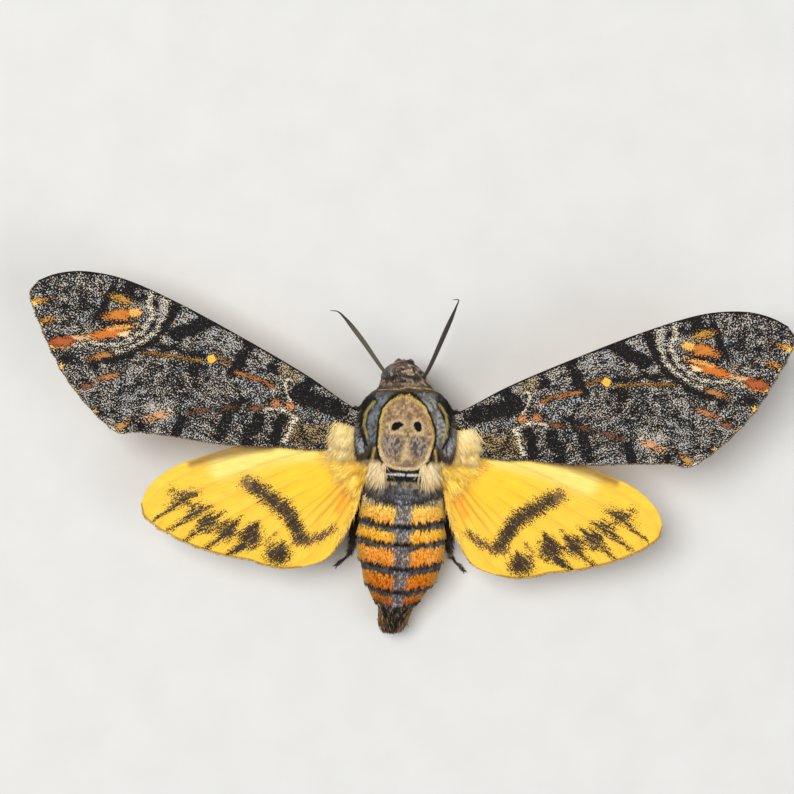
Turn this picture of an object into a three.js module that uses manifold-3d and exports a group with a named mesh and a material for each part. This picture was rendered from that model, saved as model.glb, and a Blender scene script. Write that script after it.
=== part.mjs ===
// A lesser death's-head hawkmoth at life size, wings spread as a set specimen holds them, resting on a
// flat surface on its six feet and the underside of its abdomen. Millimetres, +Z up, +Y towards the head,
// +X to the moth's right. The origin is on that surface, at the middle of the belly's resting flat.
import * as THREE from "three";
import { mergeVertices } from "three/addons/utils/BufferGeometryUtils.js";
import Module from "manifold-3d";

const wasm = await Module();
wasm.setup();

// Driving sizes.
const GAP = 0.3; // clearance between neighbouring pieces
const THORAX_FROM_ORIGIN = 21.5; // from the belly flat forward to the middle of the thorax
const WING_THICKNESS = 0.5;
const VEIN_HEIGHT = 0.16;
const VEIN_HALF_WIDTH = 0.26;
const BODY_SIDES = 24;
const SIDES = { left: -1, right: 1 };

const colours = {
  thoraxFur: 0x4a4640,
  skullFur: 0xa38a60,
  collar: 0x4b5157,
  headFur: 0x5a4a3e,
  eye: 0x1d1512,
  antenna: 0x33281f,
  forewing: 0x3c3834,
  hindwing: 0xf0b32c,
  abdomen: 0xc98422,
  tail: 0x2b2620,
  leg: 0x16130f,
};

function material(colour, roughness = 0.85) {
  return new THREE.MeshStandardMaterial({ color: colour, roughness, metalness: 0 });
}

// Closed solids and Booleans.
function solidOf(geometry) {
  const bare = new THREE.BufferGeometry();
  bare.setAttribute("position", geometry.getAttribute("position").clone());
  if (geometry.index) bare.setIndex(geometry.index.clone());
  const merged = mergeVertices(bare, 1e-4);
  const mesh = new wasm.Mesh({
    numProp: 3,
    vertProperties: new Float32Array(merged.attributes.position.array),
    triVerts: new Uint32Array(merged.index.array),
  });
  return new wasm.Manifold(mesh);
}

function geometryOf(solid) {
  const mesh = solid.getMesh();
  const positions = new Float32Array(mesh.numVert * 3);
  for (let i = 0; i < mesh.numVert; i++) {
    positions.set(mesh.vertProperties.subarray(i * mesh.numProp, i * mesh.numProp + 3), i * 3);
  }
  const geometry = new THREE.BufferGeometry();
  geometry.setAttribute("position", new THREE.BufferAttribute(positions, 3));
  geometry.setIndex(new THREE.BufferAttribute(new Uint32Array(mesh.triVerts), 1));
  return geometry;
}

function largestBody(solid) {
  return solid.decompose().reduce((most, next) => (next.volume() > most.volume() ? next : most));
}

function joined(solids) {
  return solids.reduce((sum, next) => sum.add(next));
}

function cutBy(solid, cutters) {
  return largestBody(cutters.reduce((rest, cutter) => rest.subtract(cutter), solid));
}

// Joins rings of equal length into a skin with a fan over each end. Rings run anticlockwise when seen
// from the last ring towards the first.
function skinOver(rings) {
  const positions = [];
  const corners = [];
  const sides = rings[0].length;
  for (const ring of rings) {
    for (const point of ring) positions.push(point.x, point.y, point.z);
  }
  for (let r = 0; r + 1 < rings.length; r++) {
    for (let i = 0; i < sides; i++) {
      const next = (i + 1) % sides;
      const a = r * sides + i;
      const b = r * sides + next;
      corners.push(a, b, a + sides, b, b + sides, a + sides);
    }
  }
  const addFan = (ring, offset, turned) => {
    const centre = ring.reduce((sum, p) => sum.add(p), new THREE.Vector3()).divideScalar(sides);
    const hub = positions.length / 3;
    positions.push(centre.x, centre.y, centre.z);
    for (let i = 0; i < sides; i++) {
      const next = (i + 1) % sides;
      if (turned) corners.push(hub, offset + next, offset + i);
      else corners.push(hub, offset + i, offset + next);
    }
  };
  addFan(rings[0], 0, true);
  addFan(rings.at(-1), (rings.length - 1) * sides, false);
  const geometry = new THREE.BufferGeometry();
  geometry.setAttribute("position", new THREE.Float32BufferAttribute(positions, 3));
  geometry.setIndex(corners);
  return geometry;
}

// One section of the body: a rounded oval across the line of the body.
function bodyRing(section, grow = 0) {
  const { y, x = 0, z, halfWidth, halfHeight, power = 2.3 } = section;
  const ring = [];
  for (let i = 0; i < BODY_SIDES; i++) {
    const angle = (2 * Math.PI * i) / BODY_SIDES;
    const across = Math.sign(Math.cos(angle)) * Math.abs(Math.cos(angle)) ** (2 / power);
    const up = Math.sign(Math.sin(angle)) * Math.abs(Math.sin(angle)) ** (2 / power);
    const height = z + up * (halfHeight + grow);
    ring.push(new THREE.Vector3(x + across * (halfWidth + grow), y, Math.max(height, 0)));
  }
  return ring;
}

// Reads a list of sections at any y, smoothly, so that more rings can be drawn than are named.
function sectionAt(sections, y) {
  const last = sections.length - 1;
  let i = 0;
  while (i < last - 1 && y < sections[i + 1].y) i++;
  const t = (y - sections[i].y) / (sections[i + 1].y - sections[i].y);
  const blend = (key, missing) => {
    const value = (n) => sections[Math.min(Math.max(n, 0), last)][key] ?? missing;
    const [p0, p1, p2, p3] = [value(i - 1), value(i), value(i + 1), value(i + 2)];
    const bend = 2 * p0 - 5 * p1 + 4 * p2 - p3;
    const twist = -p0 + 3 * p1 - 3 * p2 + p3;
    return p1 + 0.5 * t * (p2 - p0 + t * (bend + t * twist));
  };
  return {
    y,
    x: blend("x", 0),
    z: blend("z", 0),
    halfWidth: blend("halfWidth", 0),
    halfHeight: blend("halfHeight", 0),
    power: blend("power", 2.3),
  };
}

function bodyLength(sections, from, to, steps, grow = 0) {
  const rings = [];
  for (let i = 0; i <= steps; i++) {
    rings.push(bodyRing(sectionAt(sections, from + ((to - from) * i) / steps), grow));
  }
  return skinOver(rings);
}

// A round or oval rod along a smooth path, with its radius read from a short list along its length.
function rod(points, radii, { sides = 8, steps = 12, flatten = 1, floor = -Infinity } = {}) {
  const curve = new THREE.CatmullRomCurve3(points.map((p) => new THREE.Vector3(...p)), false, "centripetal");
  const rings = [];
  for (let s = 0; s <= steps; s++) {
    const t = s / steps;
    const centre = curve.getPointAt(t);
    const along = curve.getTangentAt(t);
    const level = new THREE.Vector3(0, 0, 1).cross(along);
    if (level.length() < 1e-3) level.set(1, 0, 0);
    level.normalize();
    const up = along.clone().cross(level);
    const place = t * (radii.length - 1);
    const before = Math.min(Math.floor(place), radii.length - 2);
    const radius = THREE.MathUtils.lerp(radii[before], radii[before + 1], place - before);
    const ring = [];
    for (let i = 0; i < sides; i++) {
      const angle = (2 * Math.PI * (i + 0.5)) / sides;
      const point = centre.clone();
      point.addScaledVector(level, radius * Math.cos(angle));
      point.addScaledVector(up, radius * flatten * Math.sin(angle));
      point.z = Math.max(point.z, floor);
      ring.push(point);
    }
    rings.push(ring);
  }
  return skinOver(rings);
}

// The same path, begun a gap further in, for the socket that a rod's buried end sits in.
function socketPath(path) {
  const [inner, next] = path.map((p) => new THREE.Vector3(...p));
  const back = inner.clone().sub(next).setLength(GAP);
  return [inner.add(back).toArray(), ...path.slice(1)];
}

function socketFor(path, radii, options) {
  return rod(socketPath(path), radii.map((radius) => 1.06 * radius + GAP), options);
}

// A flat, tapered lock of hair: it leaves the root along one path and ends in a point.
function lock(path, width, thickness, steps = 4) {
  const radii = [];
  for (let i = 0; i <= steps; i++) {
    const share = i / steps;
    radii.push((width / 2) * (share < 0.5 ? 0.85 + 0.3 * share : 2 * (1 - share)) + 0.06);
  }
  return rod(path, radii, { sides: 4, steps, flatten: thickness / width });
}

// Repeatable small variations for locks.
let seed = 7;
function vary(spread) {
  seed = (seed * 16807) % 2147483647;
  return spread * ((2 * seed) / 2147483647 - 1);
}

function oval(centre, radii, turn = [0, 0, 0], detail = [20, 12]) {
  const geometry = new THREE.SphereGeometry(1, ...detail);
  geometry.deleteAttribute("normal");
  geometry.deleteAttribute("uv");
  const matrix = new THREE.Matrix4().compose(
    new THREE.Vector3(...centre),
    new THREE.Quaternion().setFromEuler(new THREE.Euler(...turn.map(THREE.MathUtils.degToRad))),
    new THREE.Vector3(...radii),
  );
  return mergeVertices(geometry, 1e-5).applyMatrix4(matrix);
}

// Sections of the body, from the head back. x is off the middle line where the head and tail lean.
const headSections = [
  { y: 9.9, x: -0.75, z: 8.8, halfWidth: 1.5, halfHeight: 1.6, power: 2 },
  { y: 9.3, x: -0.7, z: 8.95, halfWidth: 2.6, halfHeight: 2.6, power: 2 },
  { y: 8.2, x: -0.6, z: 9.3, halfWidth: 3.3, halfHeight: 3.3, power: 2.1 },
  { y: 7.2, x: -0.4, z: 9.5, halfWidth: 3.8, halfHeight: 3.7, power: 2.1 },
  { y: 6.2, x: -0.2, z: 9.7, halfWidth: 4.3, halfHeight: 4.1, power: 2.1 },
];
const thoraxSections = [
  { y: 6.4, z: 9.9, halfWidth: 4.5, halfHeight: 4.4 },
  { y: 5.2, z: 10.1, halfWidth: 5.7, halfHeight: 5.3 },
  { y: 3.0, z: 10.3, halfWidth: 6.6, halfHeight: 6.1, power: 2.4 },
  { y: 0.0, z: 10.4, halfWidth: 6.8, halfHeight: 6.3, power: 2.4 },
  { y: -3.5, z: 10.3, halfWidth: 6.5, halfHeight: 6.0 },
  { y: -6.0, z: 10.1, halfWidth: 5.7, halfHeight: 5.2 },
  { y: -7.0, z: 9.9, halfWidth: 5.2, halfHeight: 4.8 },
];
const abdomenSections = [
  { y: -7.0, z: 9.7, halfWidth: 5.4, halfHeight: 4.9 },
  { y: -10.0, z: 8.9, halfWidth: 6.2, halfHeight: 5.4 },
  { y: -14.0, z: 7.6, halfWidth: 6.6, halfHeight: 5.6 },
  { y: -17.5, z: 6.4, halfWidth: 6.8, halfHeight: 5.6 },
  { y: -21.5, x: 0.1, z: 5.15, halfWidth: 6.1, halfHeight: 5.6 },
  { y: -24.5, x: -0.2, z: 4.5, halfWidth: 4.8, halfHeight: 4.4 },
  { y: -27.0, x: -0.4, z: 4.1, halfWidth: 3.2, halfHeight: 3.2 },
  { y: -29.0, x: -0.7, z: 3.9, halfWidth: 2.3, halfHeight: 2.2 },
];
const COLLAR = { front: 6.3, back: 5.3 };
const THORAX = { front: 5.0, back: -6.7 };
const ABDOMEN = { front: -7.0, back: -28.2, segments: 7 };

// Wings. Each is a patch between four edges, in a frame whose x runs out along the wing from the hinge
// and whose y runs forward. The veins run from the root to the outer edge at the named shares of the
// way from the front edge to the rear edge, and start where the central cell ends if they say so.
const forewing = {
  hinge: [7.2, 2.5, 12.5],
  sweep: { left: 20, right: 16.9 },
  rise: 4,
  pitch: -1,
  camber: 0.9,
  rows: 10,
  frontEdge: [
    [-2.6, 0.3], [0.8, 0.3], [9, 2.1], [20, 3.7], [31, 4.9], [39, 5.2], [43, 4.7], [46.7, 3.6], [49.6, 1.9],
    [51.4, 0.2],
  ],
  outerEdge: [
    [51.4, 0.2], [51.9, -1.8], [50.9, -3.6], [48.7, -5.9], [46.1, -8.5], [43.5, -10.8], [40.3, -13], [36.6, -15],
    [33.6, -16.3],
  ],
  rearEdge: [
    [-2.6, -4.6], [2, -6.9], [5.5, -8.3], [9, -9.3], [12.6, -10.7], [16, -11.8], [19.8, -12.8], [23.4, -13.6],
    [27, -14.5], [30, -15.5], [31.6, -16.6], [33.6, -16.3],
  ],
  scallop: 0.25,
  veins: [
    { at: 0.05, from: 0 }, { at: 0.13, from: 0 }, { at: 0.23, from: 0 }, { at: 0.34, from: 0.5 },
    { at: 0.45, from: 0.5 }, { at: 0.56, from: 0.5 }, { at: 0.67, from: 0 }, { at: 0.79, from: 0.28 },
    { at: 0.92, from: 0 },
  ],
};
const hindwing = {
  hinge: [6.5, -3.5, 11],
  sweep: { left: 0.4, right: -0.4 },
  rise: 3,
  pitch: -5,
  camber: 0.6,
  rows: 9,
  frontEdge: [
    [-2.2, 1.4], [4, 2.2], [10, 1.9], [16.5, 0.6], [21, -0.8], [24.3, -2], [27.5, -3.3], [30.2, -5.1],
    [32, -7.2], [32.8, -9.4],
  ],
  outerEdge: [
    [32.8, -9.4], [32.3, -11.1], [30.8, -12.5], [28.5, -13.8], [25.5, -15.1], [22.3, -16.1], [19.5, -16.7],
    [16.1, -17.2], [13.8, -17.9], [11.2, -18.3], [8.2, -18],
  ],
  rearEdge: [
    [-2.2, -2.6], [-0.8, -3.8], [-0.2, -6], [0.3, -10], [1.2, -12.9], [2.5, -15.4], [4.2, -16.9], [8.2, -18],
  ],
  scallop: 0.3,
  veins: [
    { at: 0.06, from: 0 }, { at: 0.17, from: 0 }, { at: 0.29, from: 0.42 }, { at: 0.41, from: 0.42 },
    { at: 0.53, from: 0.42 }, { at: 0.65, from: 0 }, { at: 0.77, from: 0.2 }, { at: 0.9, from: 0 },
  ],
};

function edgeCurve(points) {
  return new THREE.CatmullRomCurve3(points.map(([x, y]) => new THREE.Vector3(x, y, 0)), false, "centripetal");
}

function wingSurface(wing) {
  const front = edgeCurve(wing.frontEdge);
  const rear = edgeCurve(wing.rearEdge);
  const outer = edgeCurve(wing.outerEdge);
  const corner = {
    frontRoot: front.getPointAt(0),
    frontTip: front.getPointAt(1),
    rearRoot: rear.getPointAt(0),
    rearTip: rear.getPointAt(1),
  };
  const veinPlaces = wing.veins.map((vein) => vein.at);
  const dip = (across) => {
    const places = [0, ...veinPlaces, 1];
    const next = places.findIndex((place) => place >= across && place > 0);
    const share = (across - places[next - 1]) / (places[next] - places[next - 1]);
    return wing.scallop * Math.sin(Math.PI * share);
  };
  return (across, along) => {
    const point = front.getPointAt(along).multiplyScalar(1 - across);
    point.addScaledVector(rear.getPointAt(along), across);
    const root = corner.frontRoot.clone().lerp(corner.rearRoot, across);
    point.addScaledVector(root, 1 - along).addScaledVector(outer.getPointAt(across), along);
    point.addScaledVector(corner.frontRoot, -(1 - across) * (1 - along));
    point.addScaledVector(corner.frontTip, -(1 - across) * along);
    point.addScaledVector(corner.rearRoot, -across * (1 - along));
    point.addScaledVector(corner.rearTip, -across * along);
    point.x -= dip(across) * Math.max(0, along - 0.94) / 0.06;
    point.z = wing.camber * Math.sin(Math.PI * Math.min(across, 1)) * Math.sin(Math.PI * (0.15 + 0.75 * along));
    return point;
  };
}

// The lines that a wing's grid follows from root to outer edge: each vein has one on its crest and one
// on either side.
function veinLines(wing) {
  const surface = wingSurface(wing);
  const half = VEIN_HALF_WIDTH / surface(1, 0.5).distanceTo(surface(0, 0.5));
  const lines = [{ across: 0, vein: { from: 0 } }];
  for (const vein of wing.veins) {
    lines.push({ across: vein.at - half });
    lines.push({ across: vein.at, vein });
    lines.push({ across: vein.at + half });
  }
  lines.push({ across: 1 });
  return lines;
}

// grow thickens the wing and widens its root.
function wingGeometry(wing, lines = veinLines(wing), grow = 0) {
  const surface = wingSurface(wing);
  const points = { top: [], bottom: [] };
  for (let row = 0; row <= wing.rows; row++) {
    const along = row / wing.rows;
    for (const line of lines) {
      const point = surface(line.across, along);
      if (line.across === 0) point.y += grow;
      if (line.across === 1) point.y -= grow;
      if (row === 0) point.x -= grow;
      const raised = line.vein && along >= line.vein.from && row > 0 && row < wing.rows;
      const half = WING_THICKNESS / 2 + grow + (raised ? VEIN_HEIGHT * (1 - 0.5 * along) : 0);
      points.top.push(point.clone().setZ(point.z + half));
      points.bottom.push(point.clone().setZ(point.z - half));
    }
  }
  const positions = [...points.top, ...points.bottom].flatMap((p) => [p.x, p.y, p.z]);
  const corners = [];
  const count = lines.length;
  const under = points.top.length;
  const id = (row, line) => row * count + line;
  for (let row = 0; row < wing.rows; row++) {
    for (let line = 0; line + 1 < count; line++) {
      const [a, b] = [id(row, line), id(row, line + 1)];
      const [c, d] = [id(row + 1, line), id(row + 1, line + 1)];
      corners.push(a, b, d, a, d, c);
      corners.push(under + a, under + d, under + b, under + a, under + c, under + d);
    }
  }
  const wall = (a, b) => corners.push(a, under + b, b, a, under + a, under + b);
  for (let row = 0; row < wing.rows; row++) {
    wall(id(row + 1, 0), id(row, 0));
    wall(id(row, count - 1), id(row + 1, count - 1));
  }
  for (let line = 0; line + 1 < count; line++) {
    wall(id(0, line), id(0, line + 1));
    wall(id(wing.rows, line + 1), id(wing.rows, line));
  }
  const geometry = new THREE.BufferGeometry();
  geometry.setAttribute("position", new THREE.Float32BufferAttribute(positions, 3));
  geometry.setIndex(corners);
  return geometry;
}

// The slot that a wing's root sits in, plain and clear of the veins.
function slotGeometry(wing) {
  const lines = [0, 0.25, 0.5, 0.75, 1].map((across) => ({ across }));
  return wingGeometry(wing, lines, GAP + VEIN_HEIGHT);
}

// Places a right-hand wing by its hinge. The left one is the same wing in a mirrored group.
function placeWing(mesh, wing, side) {
  const degrees = THREE.MathUtils.degToRad;
  mesh.position.set(...wing.hinge);
  mesh.rotation.set(degrees(-wing.pitch), degrees(-wing.rise), degrees(wing.sweep[side]), "ZYX");
  return mesh;
}

function worldSolid(mesh) {
  mesh.updateWorldMatrix(true, false);
  const geometry = mesh.geometry.clone().applyMatrix4(mesh.matrixWorld);
  if (mesh.matrixWorld.determinant() < 0) {
    const corners = geometry.index.array;
    for (let i = 0; i < corners.length; i += 3) {
      [corners[i + 1], corners[i + 2]] = [corners[i + 2], corners[i + 1]];
    }
  }
  return solidOf(geometry);
}

// Two groups hold what comes in pairs. The left one is mirrored.
const moth = new THREE.Group();
const pairs = {};
for (const [side, sign] of Object.entries(SIDES)) {
  pairs[side] = new THREE.Group();
  pairs[side].scale.x = sign;
  moth.add(pairs[side]);
}

function add(parent, name, geometry, look) {
  const mesh = new THREE.Mesh(geometry, look);
  mesh.name = name;
  parent.add(mesh);
  return mesh;
}

// Pale hair that lies on the rear of each forewing's root, fanned out and back.
const rootHair = { count: 7, length: 5.6, width: 1.6, thickness: 0.6, lift: 0.42 };
function hairyForewing() {
  const surface = wingSurface(forewing);
  const locks = [];
  for (let i = 0; i < rootHair.count; i++) {
    const share = i / (rootHair.count - 1);
    const start = new THREE.Vector2(0.6, -2.2 - 3.6 * share);
    const aim = THREE.MathUtils.degToRad(-8 - 42 * share + vary(4));
    const at = (reach, lift) => {
      const level = surface(0.6, 0.1).z;
      return [start.x + reach * Math.cos(aim), start.y + reach * Math.sin(aim), level + lift];
    };
    const length = rootHair.length * (0.8 + 0.25 * share) + vary(0.3);
    const path = [at(0, 0.1), at(0.3 * length, rootHair.lift), at(0.7 * length, rootHair.lift), at(length, 0.3)];
    locks.push(solidOf(lock(path, rootHair.width, rootHair.thickness)));
  }
  return geometryOf(largestBody(joined([solidOf(wingGeometry(forewing)), ...locks])));
}

// Wings and the slots that their roots need in the thorax.
const wingSolids = { forewing: hairyForewing(), hindwing: wingGeometry(hindwing) };
const rootSlots = [];
const wingLooks = { forewing: material(colours.forewing, 0.9), hindwing: material(colours.hindwing, 0.9) };
for (const [kind, wing] of Object.entries({ forewing, hindwing })) {
  for (const side of Object.keys(SIDES)) {
    placeWing(add(pairs[side], `${kind}_${side}`, wingSolids[kind], wingLooks[kind]), wing, side);
    const slot = new THREE.Mesh(slotGeometry(wing));
    pairs[side].add(slot);
    rootSlots.push(worldSolid(placeWing(slot, wing, side)));
    pairs[side].remove(slot);
  }
}

// Legs: thigh, shin and a jointed foot that lies on the surface.
const legs = {
  fore: {
    path: [[2.2, 3.4, 5.6], [4.7, 4.5, 4.3], [6.9, 2.8, 1.5], [8.2, 2.6, 0.28], [11, 2.2, 0.25]],
    radii: [0.85, 0.8, 0.75, 0.7, 0.5, 0.36, 0.33, 0.3],
  },
  mid: {
    path: [[2.9, -0.8, 5.4], [6.3, -1.4, 5.0], [9, -4.2, 1.6], [10.3, -5.6, 0.28], [12.8, -7.2, 0.25]],
    radii: [0.95, 0.9, 0.8, 0.75, 0.55, 0.4, 0.33, 0.3],
  },
  hind: {
    path: [[2.6, -4.6, 5.3], [6.2, -9.4, 4.4], [7.5, -17.4, 1.7], [8, -19.7, 0.28], [9.8, -21.6, 0.25]],
    radii: [1, 0.95, 0.85, 0.8, 0.8, 0.6, 0.36, 0.3],
  },
};
const legLook = material(colours.leg, 0.6);
const legSockets = [];
for (const side of Object.keys(SIDES)) {
  for (const [name, leg] of Object.entries(legs)) {
    add(pairs[side], `${name}_leg_${side}`, rod(leg.path, leg.radii, { steps: 18, floor: 0 }), legLook);
    const socket = new THREE.Mesh(socketFor(leg.path, leg.radii, { steps: 18 }));
    pairs[side].add(socket);
    legSockets.push(worldSolid(socket));
    pairs[side].remove(socket);
  }
}

// Thorax, with the shield that carries the skull mark. Long pale locks leave its rear corners and lie
// back over the front of the abdomen.
const rearLocks = { count: 8, length: 4.6, width: 1.4, thickness: 0.55, from: 22, to: 68 };
function thoraxLocks(sign) {
  const locks = [];
  for (let i = 0; i < rearLocks.count; i++) {
    const angle = THREE.MathUtils.degToRad(
      THREE.MathUtils.lerp(rearLocks.from, rearLocks.to, i / (rearLocks.count - 1)) + vary(2));
    const at = (back, lift) => {
      const section = sectionAt(thoraxSections, Math.max(-4.6 - back, THORAX.back));
      return [
        sign * (section.halfWidth + lift) * Math.cos(angle) ** 0.85,
        -4.6 - back,
        section.z + (section.halfHeight + lift) * Math.sin(angle) ** 0.85,
      ];
    };
    const length = rearLocks.length + vary(0.5);
    const path = [at(-0.4, -0.5), at(0.35 * length, 0.35), at(0.7 * length, 0.75), at(length, 0.7)];
    locks.push(solidOf(lock(path, rearLocks.width, rearLocks.thickness)));
  }
  return locks;
}
const thoraxWhole = joined([
  solidOf(bodyLength(thoraxSections, THORAX.front, THORAX.back, 12)),
  ...Object.values(SIDES).flatMap(thoraxLocks),
]);
const abdomenClearance = solidOf(bodyLength(abdomenSections, ABDOMEN.front + GAP, -16, 8, GAP + 0.1));
add(moth, "thorax", geometryOf(cutBy(thoraxWhole, [...rootSlots, ...legSockets, abdomenClearance])),
  material(colours.thoraxFur));

// Collar, a ruff between the thorax and the head.
const collarWhole = solidOf(bodyLength(thoraxSections, COLLAR.front, COLLAR.back, 3));
add(moth, "collar", geometryOf(cutBy(collarWhole, legSockets)), material(colours.collar));

// Shoulder flaps: pads that lie over each wing root, clear of the thorax and the wings.
const thoraxClearance = solidOf(bodyLength(thoraxSections, THORAX.front + 1, THORAX.back - 1, 14, GAP + 0.04));
for (const side of Object.keys(SIDES)) {
  const pad = new THREE.Mesh(oval([6.1, 0.3, 14.0], [1.75, 4.9, 1.75], [0, 38, 6], [18, 11]));
  pairs[side].add(pad);
  const flap = cutBy(worldSolid(pad), [thoraxClearance, ...rootSlots]);
  pairs[side].remove(pad);
  add(moth, `shoulder_flap_${side}`, geometryOf(flap), material(colours.collar));
}

// Head, with sockets for the eyes, feelers, palps and tongue.
const eye = { centre: [2.6, 7.95, 8.8], radius: 1.35, leanX: -0.5 };
const feelers = {
  left: { path: [[-2.9, 7.9, 10.9], [-4.4, 9.8, 12.2], [-7.2, 13.5, 13.8], [-9.9, 16.6, 14.6], [-10.8, 17.3, 14.8],
    [-11.9, 17.4, 15]] },
  right: { path: [[2.2, 7.5, 10.9], [3.2, 9.4, 12.2], [5.2, 14.4, 14], [6.9, 18.8, 14.9], [7.15, 19.7, 15],
    [6.3, 19.7, 15.2]] },
};
const feelerRadii = [0.3, 0.33, 0.35, 0.38, 0.4, 0.42, 0.43, 0.42, 0.38, 0.28, 0.2, 0.13];
const palp = { centre: [0.88, 9.75, 7.9], radii: [0.7, 0.95, 2.1], turn: [14, 0, 0], leanX: -0.5 };
const headCutters = [];
for (const [side, sign] of Object.entries(SIDES)) {
  const eyeCentre = [eye.leanX + sign * eye.centre[0], eye.centre[1], eye.centre[2]];
  add(moth, `eye_${side}`, oval(eyeCentre, Array(3).fill(eye.radius), [0, 0, 0], [14, 9]), material(colours.eye, 0.25));
  headCutters.push(solidOf(oval(eyeCentre, Array(3).fill(1.05 * eye.radius + GAP), [0, 0, 0], [12, 8])));
  const feeler = feelers[side];
  add(moth, `antenna_${side}`, rod(feeler.path, feelerRadii, { steps: 22 }), material(colours.antenna, 0.7));
  headCutters.push(solidOf(socketFor(feeler.path, feelerRadii, { steps: 24 })));
  const palpCentre = [palp.leanX + sign * palp.centre[0], palp.centre[1], palp.centre[2]];
  add(moth, `palp_${side}`, oval(palpCentre, palp.radii, palp.turn, [12, 9]), material(colours.headFur));
  headCutters.push(solidOf(oval(palpCentre, palp.radii.map((r) => 1.07 * r + GAP), palp.turn, [10, 8])));
}
const TONGUE = { centre: [-0.6, 8.5, 4.4], inner: 0.45, outer: 1.35, turns: 1.5, points: 12 };
const tongueRadii = [0.2, 0.3, 0.34, 0.36];
function tonguePath() {
  const path = [];
  for (let i = 0; i <= TONGUE.points; i++) {
    const share = i / TONGUE.points;
    const angle = Math.PI / 2 - 2 * Math.PI * TONGUE.turns * (1 - share);
    const reach = TONGUE.inner + (TONGUE.outer - TONGUE.inner) * share;
    const [x, y, z] = TONGUE.centre;
    path.push([x, y + reach * Math.cos(angle), z + reach * Math.sin(angle)]);
  }
  path.push([TONGUE.centre[0], TONGUE.centre[1] - 1.1, TONGUE.centre[2] + 2.1]);
  return path;
}
const tongue = rod(tonguePath(), tongueRadii, { sides: 6, steps: 30 });
add(moth, "tongue", tongue, material(colours.leg, 0.5));
const tongueRoot = tonguePath().slice(-3).reverse();
headCutters.push(solidOf(socketFor(tongueRoot, [0.4, 0.4], { steps: 4 })));
const headWhole = solidOf(bodyLength(headSections, 9.9, 6.6, 7));
add(moth, "head", geometryOf(cutBy(headWhole, headCutters)), material(colours.headFur));

// Abdomen: seven rings that lap like a telescope, flat where it rests.
function abdomenGeometry() {
  const rings = [];
  const { front, back, segments } = ABDOMEN;
  for (let n = 0; n < segments; n++) {
    for (const [share, swell] of [[0, -0.22], [0.35, 0.05], [0.93, 0]]) {
      const y = front + ((back - front) * (n + share)) / segments;
      rings.push(bodyRing(sectionAt(abdomenSections, y), swell));
    }
  }
  rings.push(bodyRing(sectionAt(abdomenSections, back), -0.2));
  return skinOver(rings);
}
const abdomenWhole = solidOf(abdomenGeometry());
add(moth, "abdomen", geometryOf(cutBy(abdomenWhole, rootSlots)), material(colours.abdomen));

// Tail tuft: a short core with tapered locks all round it that close to a soft point.
const TAIL = { front: -28.55, tip: [-1.3, -31.4, 3.6], locks: 10, lockLength: 2.4, lockWidth: 1.4 };
function tailTuft() {
  const core = rod([[-0.6, TAIL.front, 4], [-0.6, -29.2, 4], [-1, -30.2, 3.8]], [2, 1.7, 0.8],
    { sides: 12, steps: 4, flatten: 0.85 });
  const locks = [];
  for (let i = 0; i < TAIL.locks; i++) {
    const angle = (2 * Math.PI * i) / TAIL.locks;
    const at = (share, reach) => [
      THREE.MathUtils.lerp(-0.6, TAIL.tip[0], share) + reach * Math.cos(angle),
      TAIL.front - 0.5 - TAIL.lockLength * share + vary(0.12),
      THREE.MathUtils.lerp(4, TAIL.tip[2], share) + 0.85 * reach * Math.sin(angle),
    ];
    locks.push(solidOf(lock([at(0, 1.4), at(0.35, 1.75), at(0.7, 1.2), at(1, 0.4)], TAIL.lockWidth, 0.5)));
  }
  return geometryOf(largestBody(joined([solidOf(core), ...locks])));
}
add(moth, "tail_tuft", tailTuft(), material(colours.tail));

moth.position.y = THORAX_FROM_ORIGIN;
export default moth;
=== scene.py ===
import itertools
import math

import bpy
import numpy as np
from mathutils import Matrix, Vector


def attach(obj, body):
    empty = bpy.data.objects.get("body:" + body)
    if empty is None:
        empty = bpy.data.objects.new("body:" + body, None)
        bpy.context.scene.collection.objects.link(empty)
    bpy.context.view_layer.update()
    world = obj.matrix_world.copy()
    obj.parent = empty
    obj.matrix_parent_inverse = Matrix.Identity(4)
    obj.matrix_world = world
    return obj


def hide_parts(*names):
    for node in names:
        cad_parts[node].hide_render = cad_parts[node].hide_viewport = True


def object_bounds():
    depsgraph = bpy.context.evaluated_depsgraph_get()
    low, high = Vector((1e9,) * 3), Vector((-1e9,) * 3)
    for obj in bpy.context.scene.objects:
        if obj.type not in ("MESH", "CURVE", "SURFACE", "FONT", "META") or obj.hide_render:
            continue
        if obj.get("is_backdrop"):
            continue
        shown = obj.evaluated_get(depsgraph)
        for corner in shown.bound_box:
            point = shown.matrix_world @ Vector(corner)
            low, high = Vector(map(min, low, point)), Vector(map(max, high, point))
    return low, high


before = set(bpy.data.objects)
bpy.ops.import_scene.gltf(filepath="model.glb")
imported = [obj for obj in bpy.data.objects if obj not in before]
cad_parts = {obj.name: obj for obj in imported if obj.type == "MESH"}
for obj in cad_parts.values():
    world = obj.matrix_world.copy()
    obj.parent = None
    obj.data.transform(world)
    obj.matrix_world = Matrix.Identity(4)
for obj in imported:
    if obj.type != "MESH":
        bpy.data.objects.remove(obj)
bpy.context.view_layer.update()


# The trunk. Head, collar, thorax, abdomen and tail are one dried shell of chitin, made here as one
# closed skin over cross-sections from nose to tail. It lies a coat's depth inside the solids, with
# the abdomen's overlapping rings and the furrow round the thorax mark pressed into it.
MM = 0.001
AHEAD = np.array([0, 21.5, 0])
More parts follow.
